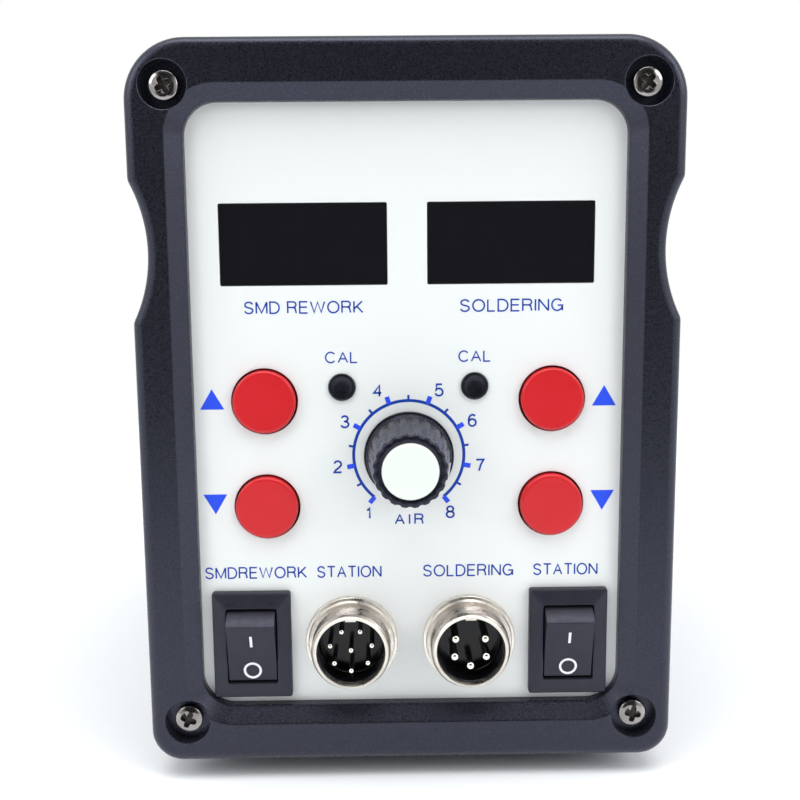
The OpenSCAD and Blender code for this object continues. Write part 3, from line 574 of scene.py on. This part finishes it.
# Each glyph is its width and the lines its strokes follow, on a body one unit high
GLYPHS = {
    " ": (0.2, []),
    "A": (0.88, [[(0, 0), (0.44, 1), (0.88, 0)], [(0.16, 0.36), (0.72, 0.36)]]),
    "C": (0.9, [bow(0.47, 0.5, 0.47, 0.5, 40, 320)]),
    "D": (0.85, [[(0, 0), (0, 1), (0.33, 1), *bow(0.36, 0.5, 0.49, 0.5, 90, -90), (0.33, 0), (0, 0)]]),
    "E": (0.72, [[(0.72, 1), (0, 1), (0, 0), (0.72, 0)], [(0, 0.52), (0.66, 0.52)]]),
    "G": (0.95, [[*bow(0.48, 0.5, 0.47, 0.5, 42, 335), (0.94, 0.46), (0.52, 0.46)],
                 [(0.94, 0.4), (0.94, 0)]]),
    "I": (0, [[(0, 0), (0, 1)]]),
    "K": (0.82, [[(0, 0), (0, 1)], [(0.76, 1), (0, 0.33)], [(0.25, 0.56), (0.82, 0)]]),
    "L": (0.62, [[(0, 1), (0, 0), (0.62, 0)]]),
    "M": (0.98, [[(0, 0), (0, 1)], [(0, 1), (0.49, 0), (0.98, 1)], [(0.98, 0), (0.98, 1)]]),
    "N": (0.84, [[(0, 0), (0, 1)], [(0, 1), (0.84, 0)], [(0.84, 0), (0.84, 1)]]),
    "O": (1.02, [bow(0.51, 0.5, 0.51, 0.5, 0, 360)]),
    "R": (0.82, [[(0, 0), (0, 1), (0.48, 1), *bow(0.5, 0.755, 0.27, 0.245, 90, -90), (0.48, 0.51),
                  (0, 0.51)], [(0.5, 0.51), (0.69, 0.43), (0.74, 0.2), (0.79, 0)]]),
    "S": (0.8, [[*bow(0.4, 0.75, 0.345, 0.25, 12, 180), (0.09, 0.63), (0.22, 0.555), (0.4, 0.505),
                 (0.58, 0.46), (0.73, 0.38), *bow(0.4, 0.26, 0.37, 0.26, 0, -170)]]),
    "T": (0.82, [[(0, 1), (0.82, 1)], [(0.41, 0), (0.41, 1)]]),
    "W": (1.3, [[(0, 1), (0.32, 0), (0.65, 1), (0.98, 0), (1.3, 1)]]),
    "1": (0.36, [[(0.04, 0.74), (0.25, 0.79), (0.34, 1), (0.34, 0)]]),
    "2": (0.6, [[*bow(0.3, 0.71, 0.28, 0.29, 165, 0), (0.54, 0.58), (0.34, 0.37), (0.1, 0.17), (0.02, 0),
                 (0.6, 0)]]),
    "3": (0.6, [[*bow(0.29, 0.76, 0.25, 0.24, 160, -90), (0.22, 0.52)],
                bow(0.29, 0.26, 0.3, 0.26, 85, -165)]),
    "4": (0.62, [[(0.46, 0), (0.46, 1), (0, 0.3), (0.62, 0.3)]]),
    "5": (0.6, [[(0.54, 1), (0.12, 1), (0.05, 0.5), *bow(0.29, 0.32, 0.3, 0.32, 140, -160)]]),
    "6": (0.6, [bow(0.33, 0.5, 0.31, 0.5, 50, 190), bow(0.31, 0.31, 0.29, 0.31, 0, 360)]),
    "7": (0.58, [[(0, 1), (0.58, 1), (0.36, 0.55), (0.22, 0)]]),
    "8": (0.6, [bow(0.3, 0.76, 0.25, 0.24, 0, 360), bow(0.3, 0.27, 0.3, 0.27, 0, 360)]),
}


def letters(shape, text, x, z, width, height, y, thick, gap=0.3, weight=0.12):
    """Adds raised lettering in strokes of even width, centred and fitted to a width and a height."""
    stroke = weight * height
    natural = sum(GLYPHS[c][0] for c in text) + gap * (len(text) - 1)
    wide = (width - stroke) / natural
    tall = height - stroke
    left = x - natural * wide / 2
    low = z - tall / 2
    for c in text:
        glyph_w, strokes = GLYPHS[c]
        for line in strokes:
            placed = [(left + a * wide, low + b * tall) for a, b in line]
            ribbon(shape, placed, stroke, low - stroke / 2, low + tall + stroke / 2, y, thick)
        left += (glyph_w + gap) * wide


def ribbon(shape, points, width, low, high, y, thick):
    """Adds a raised stroke of even width along a line, kept between two heights."""
    line = [Vector(p) for p in points]
    closed = (line[0] - line[-1]).length < 1e-4
    if closed:
        line.pop()
    rings = []
    for i, p in enumerate(line):
        ways = []
        if closed or i:
            ways.append((p - line[i - 1]).normalized())
        if closed or i < len(line) - 1:
            ways.append((line[(i + 1) % len(line)] - p).normalized())
        normals = [Vector((-w.y, w.x)) for w in ways]
        normal = sum(normals, Vector((0, 0))).normalized()
        reach = width / 2 / max(normal.dot(normals[0]), 0.45)
        ring = [p + side * reach * normal for side in (1, -1)]
        ring = [(q.x, min(max(q.y, low), high)) for q in ring]
        rings.append([(ring[0][0], y - thick, ring[0][1]), (ring[1][0], y - thick, ring[1][1]),
                      (ring[1][0], y, ring[1][1]), (ring[0][0], y, ring[0][1])])
    if closed:
        rings.append(rings[0])
    else:
        shape.add(rings[0], [(0, 1, 2, 3)])
        shape.add(rings[-1], [(3, 2, 1, 0)])
    shape.skin(rings)


def radial(angle, inner, outer, width):
    """Outline of a tick from one radius to another, clockwise angle from the top, in degrees."""
    t = math.radians(angle)
    corners = ((inner, -width / 2), (outer, -width / 2), (outer, width / 2), (inner, width / 2))
    return [(DIAL.x + r * math.sin(t) + off * math.cos(t), DIAL.z + r * math.cos(t) - off * math.sin(t))
            for r, off in corners]


def panel_print():
    """The printed words, dial and arrows: generic words and numbers only."""
    ink = 0.03
    y = PANEL_Y
    dark, bright = Shape(), Shape()

    # words: text, middle from the dial's middle, width and height
    labels = [
        ("SMD REWORK", -19.2, 28.0, 22.1, 2.35), ("SOLDERING", 19.2, 28.05, 19.2, 2.4),
        ("SMDREWORK", -29.45, -22.7, 19.55, 2.35), ("STATION", -11.6, -22.7, 12.4, 2.35),
        ("SOLDERING", 11.2, -22.7, 17.4, 2.4), ("STATION", 29.9, -22.7, 12.46, 2.35),
        ("CAL", -12.4, 18.65, 6.1, 2.2), ("CAL", 12.4, 18.65, 6.1, 2.2),
    ]
    for text, dx, dz, width, height in labels:
        letters(dark, text, DIAL.x + dx, DIAL.z + dz, width, height, y, ink)
    bold = 0.14
    letters(dark, "AIR", DIAL.x, DIAL.z - 12.45, 5.6, 2.15, y, ink, 0.55, bold)

    # dial: broad ticks with their digits, fine ticks between them, and a line that joins them
    sweep_angle, dial_r, line = 141, 10.4, 0.56
    broad_r, broad_w, fine_r, fine_w = 11.85, 0.87, 11.45, 0.42
    digit_turns = (-145, -99, -61.5, -25, 25, 61.5, 99, 145)
    digit_r, digit_w, digit_h, one_w = 13.6, 1.75, 2.5, 1.0
    step = 2 * sweep_angle / (len(digit_turns) - 1)
    for i, turn in enumerate(digit_turns):
        t = math.radians(turn)
        x, z = DIAL.x + digit_r * math.sin(t), DIAL.z + digit_r * math.cos(t)
        letters(dark, str(i + 1), x, z, digit_w if i else one_w, digit_h, y, ink, weight=bold)
        angle = -sweep_angle + i * step
        bright.prism(radial(angle, dial_r, broad_r, broad_w), y - ink - 0.01, y)
        if i < len(digit_turns) - 1:
            dark.prism(radial(angle + step / 2, dial_r, fine_r, fine_w), y - ink, y)
    rim = arc(DIAL.x, DIAL.z, dial_r + line / 2, 90 - sweep_angle, 90 + sweep_angle, 96)
    rim += arc(DIAL.x, DIAL.z, dial_r - line / 2, 90 + sweep_angle, 90 - sweep_angle, 96)
    dark.prism(rim, y - ink + 0.005, y)

    # arrows beside the buttons
    arrow_x, half_w, half_h = 36.7, 2.25, 1.925
    for s in SIDES.values():
        for dz, up in ((11.0, 1), (-9.15, -1)):
            x, z = DIAL.x + s * arrow_x, DIAL.z + dz
            foot = z - up * half_h
            corners = [(x, z + up * half_h), (x - up * half_w, foot), (x + up * half_w, foot)]
            bright.prism(corners, y - ink, y)
    piece("panel_words_and_dial", dark, [BLUE], "housing")
    piece("panel_arrows_and_ticks", bright, [BRIGHT_BLUE], "housing")


def button(node, body):
    """A red cap with a soft edge, and the plunger behind it."""
    low, high = box(node)
    c = middle(node)
    r, edge, dish = size(node).x / 2, 0.55, 0.03
    cap, length, stem_r = 5.5, high.y - low.y, 1.9
    profile = [(0, dish)] + [(k * (r - edge), dish * (1 - k ** 2)) for k in (0.3, 0.6, 0.9, 0.97)]
    profile += [(r - d, h) for d, h in reversed(fillet(edge, 7))]
    profile += [(r, cap), (stem_r, cap), (stem_r, length), (0, length)]
    shape = Shape()
    shape.turn(profile, c.x, c.z, low.y, 1, 96)
    piece(node + "_cap", shape, [RED], body, [node])


def knob():
    """Stepped skirt, tapering fluted flank, scalloped glossy crown and a pale cap with its pointer."""
    flutes, base_r, crown_r, notch = 20, 7.75, 6.6, 0.26
    skirt_r, top = size("air_knob").x / 2, PANEL_Y - box("air_knob")[0].y
    flank_low, flank_high, crown_edge = 2.3, top - 0.55, 0.12
    socket_r, socket_h, hollow_r, hollow_h, bottom, cap_seat = 3, 11, 5.9, 2.6, 0.6, 5.15
    smooth_r, fade_h, notch_share = crown_r - 0.9, 0.8, 0.6
    rise = flank_high - flank_low

    def flank(k):
        """Radius at a share k of the flank's height."""
        return base_r + (crown_r + crown_edge - base_r) * k

    def fluted(r, h, a):
        """Cuts notches that fade in above the skirt, and leaves the face alone."""
        if not flank_low < h <= top or r < smooth_r:
            return r
        turn = (a - math.radians(KNOB_ANGLE)) * flutes / (2 * math.pi) + 0.5
        near = abs(turn - round(turn)) * 2
        fade = min(1, (h - flank_low) / fade_h)
        return r - notch * fade * max(0, 1 - (near / notch_share) ** 2)

    profile = [(0, socket_h), (socket_r, socket_h), (socket_r, hollow_h), (hollow_r, hollow_h)]
    profile += [(hollow_r, bottom), (skirt_r - 0.1, bottom), (skirt_r, 0.7), (skirt_r, 1.25)]
    profile += [(skirt_r - 0.12, 1.4), (skirt_r - 0.4, 1.42), (skirt_r - 0.45, 1.5), (skirt_r - 0.45, 2.1)]
    profile += [(skirt_r - 0.55, flank_low)]
    shares = (0.015, 0.06, 0.12, 0.3, 0.5, 0.7, 0.85, 0.93, 1.0)
    profile += [(flank(k), flank_low + rise * k) for k in shares]
    profile += [(crown_r + 0.1, top - 0.4), (crown_r, top - 0.2), (crown_r - 0.2, top - 0.06)]
    profile += [(crown_r - 0.5, top), (5.5, top), (cap_seat + 0.1, top - 0.08), (cap_seat, top - 0.3)]
    profile += [(cap_seat, top - 1), (0, top - 1)]
    shape = Shape()
    shape.turn(profile, 0, DIAL.z, PANEL_Y, -1, flutes * 12, radius=fluted)
    piece("air_knob_grip", shape, [KNOB], "air_dial", ["air_knob"])

    high, r = PANEL_Y - box("knob_cap")[0].y, size("knob_cap").x / 2
    profile = [(0, high - 1.5), (r, high - 1.5), (r, high - 0.35), (r - 0.1, high - 0.14)]
    profile += [(r - 0.35, high - 0.03), (r - 0.6, high), (r * 0.5, high), (0, high)]
    cap = Shape()
    cap.turn(profile, 0, DIAL.z, PANEL_Y, -1, 96)
    piece("air_knob_cap", cap, [CAP], "air_dial", ["knob_cap"])

    half_w, proud, sunk, start_h, steps = 0.5, 0.12, 0.2, 3.4, 12
    t = math.radians(KNOB_ANGLE)
    rings = []
    for i in range(steps + 1):
        h = start_h + (flank_high - 0.1 - start_h) * i / steps
        r = flank((h - flank_low) / rise)
        ring = []
        for side, out in ((-half_w, -sunk), (-half_w, proud), (half_w, proud), (half_w, -sunk)):
            q = r + out
            x = q * math.sin(t) + side * math.cos(t)
            z = q * math.cos(t) - side * math.sin(t)
            ring.append((x, PANEL_Y - h, DIAL.z + z))
        rings.append(ring)
    pointer = Shape()
    pointer.skin(rings)
    pointer.add(rings[0], [(0, 1, 2, 3)])
    pointer.add(rings[-1], [(3, 2, 1, 0)])
    piece("air_knob_pointer", pointer, [WHITE_PRINT], "air_dial")


def rocker_frame(side):
    """Snap-in frame whose face slopes up to the opening, with mitred corners."""
    node = "rocker_frame_" + side
    c, extent = middle(node), size(node)
    proud = PANEL_Y - box(node)[0].y
    body_w, body_h, body_depth = 13, 18.8, 13
    open_w, open_h, open_depth, open_floor = 9.6, 14.8, 9, 0.4
    edge_h, edge_in, crest_in, crest_drop = 0.78 * proud, 0.3, 0.55, 0.05
    outer = rounded(c.x, c.z, extent.x, extent.z, 0.5, 4)
    hole = rounded(c.x, c.z, open_w, open_h, 0.35, 4)
    body = rounded(c.x, c.z, body_w, body_h, 0.3, 4)

    def y(height):
        return PANEL_Y - height

    edge = [(0, y(0)), (0, y(edge_h - 0.35)), (-0.08, y(edge_h - 0.15)), (-edge_in, y(edge_h))]
    crest = [(crest_in, y(proud - crest_drop)), (0.35, y(proud)), (0.15, y(proud)), (0.04, y(proud - 0.05))]
    inside = [(0, y(proud - 0.2)), (0, y(-open_depth)), (open_floor - open_w / 2, y(-open_depth))]
    foot_of_slope = [(x, y(edge_h), z) for x, z in outer(-edge_in)]
    top_of_slope = [(x, y(proud - crest_drop), z) for x, z in hole(crest_in)]
    shape = Shape()
    shape.sweep(outer, edge)
    shape.skin([foot_of_slope, top_of_slope])
    shape.sweep(hole, crest + inside)
    shape.flat(y(-open_depth), hole(open_floor - open_w / 2))
    shape.flat(y(0), outer(), [body()])
    shape.sweep(body, [(0, y(0)), (0, y(-body_depth))])
    shape.flat(y(-body_depth), body())
    piece("rocker_surround_" + side, shape, [ROCKER], "housing", [node], 24)


def rocker_marks(side):
    """The I and O on a rocker's hollow face."""
    pivot = Vector((middle("rocker_paddle_" + side).x, PANEL_Y + 1, middle("rocker_frame_" + side).z))
    hollow_depth, hollow_r, half_throw = 3.82, 45, 15
    thick, lift = 0.3, 0.05
    bar_w, bar_h, bar_z = 0.5, 2.5, 2.6
    ring_r, stroke, ring_z = 1.75, 0.45, -3.95
    limit = 9

    def face(z):
        return -(hollow_depth + z * z / (2 * hollow_r))

    shape = Shape()
    bar = [(0, bar_z - bar_h / 2), (0, bar_z + bar_h / 2)]
    ribbon(shape, bar, bar_w, -limit, limit, 0, thick)
    circle = bow(0, ring_z, ring_r - stroke / 2, ring_r - stroke / 2, 0, 360)
    ribbon(shape, circle, stroke, -limit, limit, 0, thick)
    shape.verts = [(x, face(z) - lift if y < 0 else face(z) + thick, z) for x, y, z in shape.verts]
    shape.move(Matrix.Translation(pivot) @ Matrix.Rotation(math.radians(half_throw), 4, "X"))
    piece("rocker_marks_" + side, shape, [WHITE_PRINT], "rocker_" + side)


def socket(name):
    """Threaded metal shell with its flange, and the key inside its mouth."""
    node = name + "_socket_shell"
    c = middle(node)
    flange_r, thread_r, bore_r = size(node).x / 2, 7.5, 6.45
    top, back = PANEL_Y - box(node)[0].y, -9
    pitch, depth, rows, rounds = 0.75, 0.28, 34, 96
    thread_low, thread_high = 2.2, top - 0.7
    step_r, neck_r, lip_r = flange_r - 0.65, thread_r - 0.25, thread_r - 0.35
    key_w, key_in, key_root = 2.0, 0.42, 0.1

    def threaded(r, h, a):
        if r != thread_r or not thread_low - 0.1 < h < thread_high + 0.1:
            return r
        phase = h / pitch - a / (2 * math.pi)
        return r - depth * abs(2 * (phase - math.floor(phase)) - 1)

    flange = [(bore_r, back), (thread_r - 0.2, back), (thread_r - 0.2, 0), (flange_r - 0.1, 0)]
    flange += [(flange_r, 0.1), (flange_r, 1.0), (flange_r - 0.1, 1.15), (flange_r - 0.55, 1.3)]
    flange += [(step_r, 1.45), (step_r, 1.85), (step_r - 0.1, 2.0), (thread_r + 0.12, 2.0), (neck_r, 2.05)]
    thread = [(neck_r, 2.05)]
    thread += [(thread_r, thread_low + (thread_high - thread_low) * i / rows) for i in range(rows + 1)]
    thread += [(lip_r, top - 0.5)]
    mouth = [(lip_r, top - 0.5), (thread_r - 0.4, top - 0.1), (thread_r - 0.5, top), (bore_r + 0.2, top)]
    mouth += [(bore_r + 0.05, top - 0.06), (bore_r, top - 0.2), (bore_r, back)]
    shape = Shape()
    shape.turn(flange, c.x, c.z, PANEL_Y, -1, rounds)
    # the thread rows take the darker nickel: painted groove shade, with some grime
    shape.turn(thread, c.x, c.z, PANEL_Y, -1, rounds, 1, threaded)
    shape.turn(mouth, c.x, c.z, PANEL_Y, -1, rounds)
    left, right = c.x - key_w / 2, c.x + key_w / 2
    low, high = c.z + bore_r - key_in, c.z + bore_r + key_root
    key = [(left, low), (right, low), (right, high), (left, high)]
    shape.prism(key, PANEL_Y - top + 0.35, PANEL_Y - 1.05)
    piece(name + "_socket_thread", shape, [NICKEL, THREAD_GRIME_AND_SHADE], "housing", [node], 28)


def insert(name):
    """Moulded insulator behind the pins, with a thin black collar up the shell's bore that paints the bore
    dark as shade.
    """
    node = name + "_socket_insert"
    low, high = box(node)
    c = middle(node)
    r, face, back = size(node).x / 2, PANEL_Y - low.y, PANEL_Y - high.y
    collar, wall, ease, corner = 5.9, 0.22, 0.06, 0.15
    # the collar is a black liner up the bore: painted shade inside the shell
    profile = [(0, back), (r, back), (r, collar - ease), (r - ease, collar), (r - wall + ease, collar)]
    profile += [(r - wall, collar - ease), (r - wall, face + corner), (r - wall - corner, face), (0, face)]
    shape = Shape()
    shape.turn(profile, c.x, c.z, PANEL_Y, -1, 96)
    piece(name + "_socket_insulator", shape, [INSERT], "housing", [node])


def cal_plug(side):
    """Soft plug over a calibration trimmer: a rounded rim round a shallow dish."""
    node = "cal_plug_" + side
    c = middle(node)
    r, proud, dish = size(node).x / 2, PANEL_Y - box(node)[0].y, 0.3
    stem_r, stem_end, gap = 1.95, -3, 0.02
    profile = [(0, dish), (0.7, dish), (1.3, 0.33), (1.7, 0.42), (2.05, proud), (2.3, proud)]
    profile += [(2.5, proud - 0.12), (r, 0.2), (r, 0.06), (r - 0.05, gap), (stem_r, gap)]
    profile += [(stem_r, stem_end + 0.4), (stem_r - 0.35, stem_end), (0, stem_end)]
    shape = Shape()
    shape.turn(profile, c.x, c.z, PANEL_Y, -1, 64)
    piece("cal_cover_" + side, shape, [PLUG], "plug_" + side, [node])


def inlet():
    """Mains inlet: flange with rounded ears, cavity with two cut corners, and the drawer's opening."""
    low, high = box("inlet_housing")
    c = middle("inlet_housing")
    seat_y, face_y = box("rear_panel")[1].y, high.y
    drawer, drawer_z, reveal = size("fuse_drawer"), middle("fuse_drawer").z, 0.2
    half_w, half_h, corner_r, ear_r, blend_r = 15.5, (high.z - low.z) / 2, 2.2, 5, 1.6
    ear_x = high.x - ear_r
    body_w, body_h = 28, 32
    cavity_w, cavity_h, cavity_depth, cut = 24, 16.6, 16, 4.4
    cavity_z = c.z - 5.5
    edge, soft = 0.7, 0.3
    hole_r, head_r, shank_r, recess = 1.6, 2.7, 1.4, 0.45

    def flange(grow=0):
        right = arc(half_w - corner_r, c.z - half_h + corner_r, corner_r + grow, -90, 0, 8)
        right += arc(half_w + blend_r, c.z - ear_r - blend_r, blend_r - grow, 180, 90, 6)
        right += arc(ear_x, c.z, ear_r + grow, -90, 90, 24)
        right += arc(half_w + blend_r, c.z + ear_r + blend_r, blend_r - grow, 270, 180, 6)
        right += arc(half_w - corner_r, c.z + half_h - corner_r, corner_r + grow, 0, 90, 8)
        return right + [(-x, z) for x, z in reversed(right)]

    def cavity(grow=0):
        w, h = cavity_w / 2 + grow, cavity_h / 2 + grow
        k = cut + grow * (2 - math.sqrt(2))
        outline = [(-w, -h), (w, -h), (w, h - k), (w - k, h), (-w + k, h), (-w, h - k)]
        return [(x, cavity_z + z) for x, z in outline]

    body = rounded(0, c.z, body_w, body_h, 0.8, 4)
    opening = rounded(0, drawer_z, drawer.x + 2 * reveal, drawer.z + 2 * reveal, 0.3, 3)
    holes = [disc(s * ear_x, c.z, hole_r, 32) for s in SIDES.values()]
    shape = Shape()
    shape.sweep(flange, [(0, seat_y)] + [(-d, face_y - h) for d, h in fillet(edge)])
    shape.flat(face_y, flange(-edge), [o(soft) for o in (cavity, opening, *holes)])
    shape.flat(seat_y, flange(), [o() for o in (body, *holes)])
    shape.sweep(body, [(0, seat_y), (0, low.y)])
    shape.flat(low.y, body())
    for hole in holes:
        shape.sweep(hole, [(soft, face_y), (0, face_y - soft), (0, seat_y)])
    eased = [(soft, face_y), (0.3 * soft, face_y - 0.3 * soft), (0, face_y - soft)]
    for o, depth in ((cavity, cavity_depth), (opening, drawer.y + reveal)):
        shape.sweep(o, [*eased, (0, face_y - depth)])
        shape.flat(face_y - depth, o())
    piece("mains_inlet", shape, [SWITCH], "housing", replaces=["inlet_housing"])

    heads = Shape()
    head_h = box("inlet_screws")[1].y - face_y
    length = size("inlet_screws").y - head_h
    for s, stop in zip(SIDES.values(), (15, 52)):
        cross_screw(heads, head_r, head_h, shank_r, length, s * ear_x, face_y, c.z, 1, stop, recess)
    piece("inlet_screw_heads", heads, [STEEL, RECESS], "housing", replaces=["inlet_screws"])


def foot_screws():
    """One screw up through each foot, with its head in the foot's recess."""
    low, high = box("foot_screws")
    head_r, head_h, shank_r = 2.8, 1.8, 1.4
    first_stop, next_stop = 17, 31
    seat = low.z + head_h
    places = [(x, y) for x in (low.x + head_r, high.x - head_r) for y in (low.y + head_r, high.y - head_r)]
    shape = Shape()
    for i, (x, y) in enumerate(places):
        stop = first_stop + next_stop * i
        cross_screw(shape, head_r, head_h, shank_r, high.z - seat, x, seat, -y, -1, stop)
    shape.move(Matrix.Rotation(math.pi / 2, 4, "X"))
    piece("foot_screw_heads", shape, [STEEL, RECESS], "housing", replaces=["foot_screws"])


bezel("front_bezel", FRONT_Y, 1, WINDOW_Z, (3, 2), PANEL_Y - FRONT_Y, "front_bezel_screws")
bezel("rear_bezel", BACK_Y, -1, MID_Z, (0.9, 0.9), BACK_Y - box("rear_panel")[1].y, "rear_bezel_screws")
panel()
panel_print()
for circuit in ("hot_air", "iron"):
    for direction in ("up", "down"):
        button(f"{circuit}_{direction}_button", f"{circuit}_{direction}")
    socket(circuit)
    insert(circuit)
knob()
inlet()
foot_screws()
for side in SIDES:
    rocker_frame(side)
    rocker_marks(side)
    cal_plug(side)


# ---------- CAD nodes that stay as they are: finish, and the round along their edges ----------

CARRIED = {
    "display_window_left": (SMOKED, 0.1), "display_window_right": (SMOKED, 0.1),
    "led_display_left": (EPOXY, 0.3), "led_display_right": (EPOXY, 0.3),
    "control_board": (BOARD, 0.1), "board_standoffs": (NICKEL, 0.2), "board_screws": (STEEL, 0.15),
    "ribbon_cable": (RIBBON, 0.2), "tact_switches": (SWITCH, 0.2),
    "pot_shaft": (POT, 0.2), "pot_body": (POT, 0.3), "pot_nut": (NICKEL, 0.2),
    "cal_trimmers": (TRIMMER_BLUE, 0.2),
    "cal_rotor_left": (TRIMMER_WHITE, 0.1), "cal_rotor_right": (TRIMMER_WHITE, 0.1),
    "rocker_paddle_left": (ROCKER, 0.22), "rocker_paddle_right": (ROCKER, 0.22),
    "rocker_terminals": (CONTACT, 0.15),
    "hot_air_socket_pins": (CONTACT, 0.3), "iron_socket_pins": (CONTACT, 0.5),
    "hot_air_socket_nut": (NICKEL, 0.3), "iron_socket_nut": (NICKEL, 0.3),
    "case_cover": (CASE, 0.5), "case_base": (CASE, 0.5), "rear_panel": (CASE, 0.3),
    "rubber_feet": (RUBBER, 0.6),
    "transformer_core": (CORE, 0.2), "transformer_coil": (TAPE, 1.0),
    "transformer_strap": (STEEL, 0.15), "transformer_screws": (STEEL, 0.3),
    "power_board": (BOARD, 0.1), "power_board_pillars": (NICKEL, 0.3),
    "heatsink": (ALUMINIUM, 0.2), "triac": (SWITCH, 0.2), "capacitors": (SLEEVE, 0.5),
    "inlet_pins": (NICKEL, 0.5), "fuse_drawer": (SWITCH, 0.25), "fuse": (GLASS, 0.3),
}
for node, (finish, width) in CARRIED.items():
    soften(node, finish, width)


# ---------- camera, floor and light ----------

def camera():
    """In front, a little left of the middle and above it, looking slightly down."""
    place = Vector((-4.03, -269.6, 106.0)) * MM
    tilt, yaw, roll = (math.radians(a) for a in (8.99, 0.69, 0.51))
    data = bpy.data.cameras.new("camera")
    data.sensor_width = 36
    data.lens = 49.68
    data.clip_start = 0.01
    obj = bpy.data.objects.new("camera", data)
    bpy.context.scene.collection.objects.link(obj)
    aim = Euler((math.pi / 2 - tilt, 0, -yaw)).to_matrix() @ Matrix.Rotation(-roll, 3, "Z")
    obj.matrix_world = Matrix.Translation(place) @ aim.to_4x4()
    bpy.context.scene.camera = obj


def floor():
    """A plain white sheet under the object."""
    side, near, far = 0.9, -0.3, 0.32
    corners = [(-side, near, 0), (side, near, 0), (side, far, 0), (-side, far, 0)]
    mesh = bpy.data.meshes.new("floor")
    mesh.from_pydata(corners, [], [(0, 1, 2, 3)])
    finish = Finish("floor_white", (0.95, 0.97, 1.0), 0.45)
    finish.tint(finish.span(finish.noise(300, 2), 0.3, 0.7), (0.96, 0.98, 1.0))
    mesh.materials.append(finish.material)
    obj = bpy.data.objects.new("floor", mesh)
    bpy.context.scene.collection.objects.link(obj)


def softbox(name, place, target, width, height, watts):
    """An area light at a place, turned towards a target."""
    data = bpy.data.lights.new(name, "AREA")
    data.shape = "RECTANGLE"
    data.size, data.size_y = width, height
    data.energy = watts
    obj = bpy.data.objects.new(name, data)
    bpy.context.scene.collection.objects.link(obj)
    obj.location = place
    obj.rotation_euler = (Vector(target) - Vector(place)).to_track_quat("-Z", "Y").to_euler()


def sky():
    """A bright tent, dark in its opening in front of the object, and plain white to the camera."""
    world = bpy.data.worlds.new("studio")
    bpy.context.scene.world = world
    world.use_nodes = True
    nodes, links = world.node_tree.nodes, world.node_tree.links
    nodes.clear()

    def math_node(operation, *sources):
        node = nodes.new("ShaderNodeMath")
        node.operation = operation
        for source, socket in zip(sources, node.inputs):
            links.new(source, socket)
        return node.outputs[0]

    def fade(source, start, end):
        """One before start, nought beyond end."""
        node = nodes.new("ShaderNodeMapRange")
        node.interpolation_type = "SMOOTHSTEP"
        for socket, value in {"From Min": start, "From Max": end, "To Min": 1.0, "To Max": 0.0}.items():
            node.inputs[socket].default_value = value
        links.new(source, node.inputs["Value"])
        return node.outputs["Result"]

    def background(colour, strength):
        node = nodes.new("ShaderNodeBackground")
        node.inputs["Color"].default_value = (*colour, 1)
        node.inputs["Strength"].default_value = strength
        return node.outputs[0]

    def mixed(factor, first, second):
        node = nodes.new("ShaderNodeMixShader")
        for source, socket in zip((factor, first, second), node.inputs):
            links.new(source, socket)
        return node.outputs[0]

    ways = nodes.new("ShaderNodeSeparateXYZ")
    links.new(nodes.new("ShaderNodeTexCoord").outputs["Generated"], ways.inputs[0])
    across = fade(math_node("ABSOLUTE", ways.outputs["X"]), 0.3, 0.62)
    behind = fade(ways.outputs["Y"], -0.4, 0.1)
    above = fade(ways.outputs["Z"], 0.7, 0.93)
    dark = math_node("MULTIPLY", math_node("MULTIPLY", across, behind), above)
    tent = background((0.98, 0.99, 1), 1.02)
    opening = background((0.9, 0.94, 1), 0.05)
    seen = background((1, 1, 1), 1.0)
    to_camera = nodes.new("ShaderNodeLightPath").outputs["Is Camera Ray"]
    light = mixed(dark, tent, opening)
    links.new(mixed(to_camera, light, seen), nodes.new("ShaderNodeOutputWorld").inputs["Surface"])


camera()
floor()
softbox("left_softbox", (-0.55, -0.4, 0.42), (0, 0, 0.07), 0.35, 0.35, 1.2)
softbox("right_softbox", (0.55, -0.4, 0.42), (0, 0, 0.07), 0.35, 0.35, 1.4)
softbox("top_softbox", (0, -0.3, 0.8), (0, -0.1, 0), 0.8, 0.4, 3.9)
sky()
bpy.context.scene.view_settings.view_transform = "Standard"
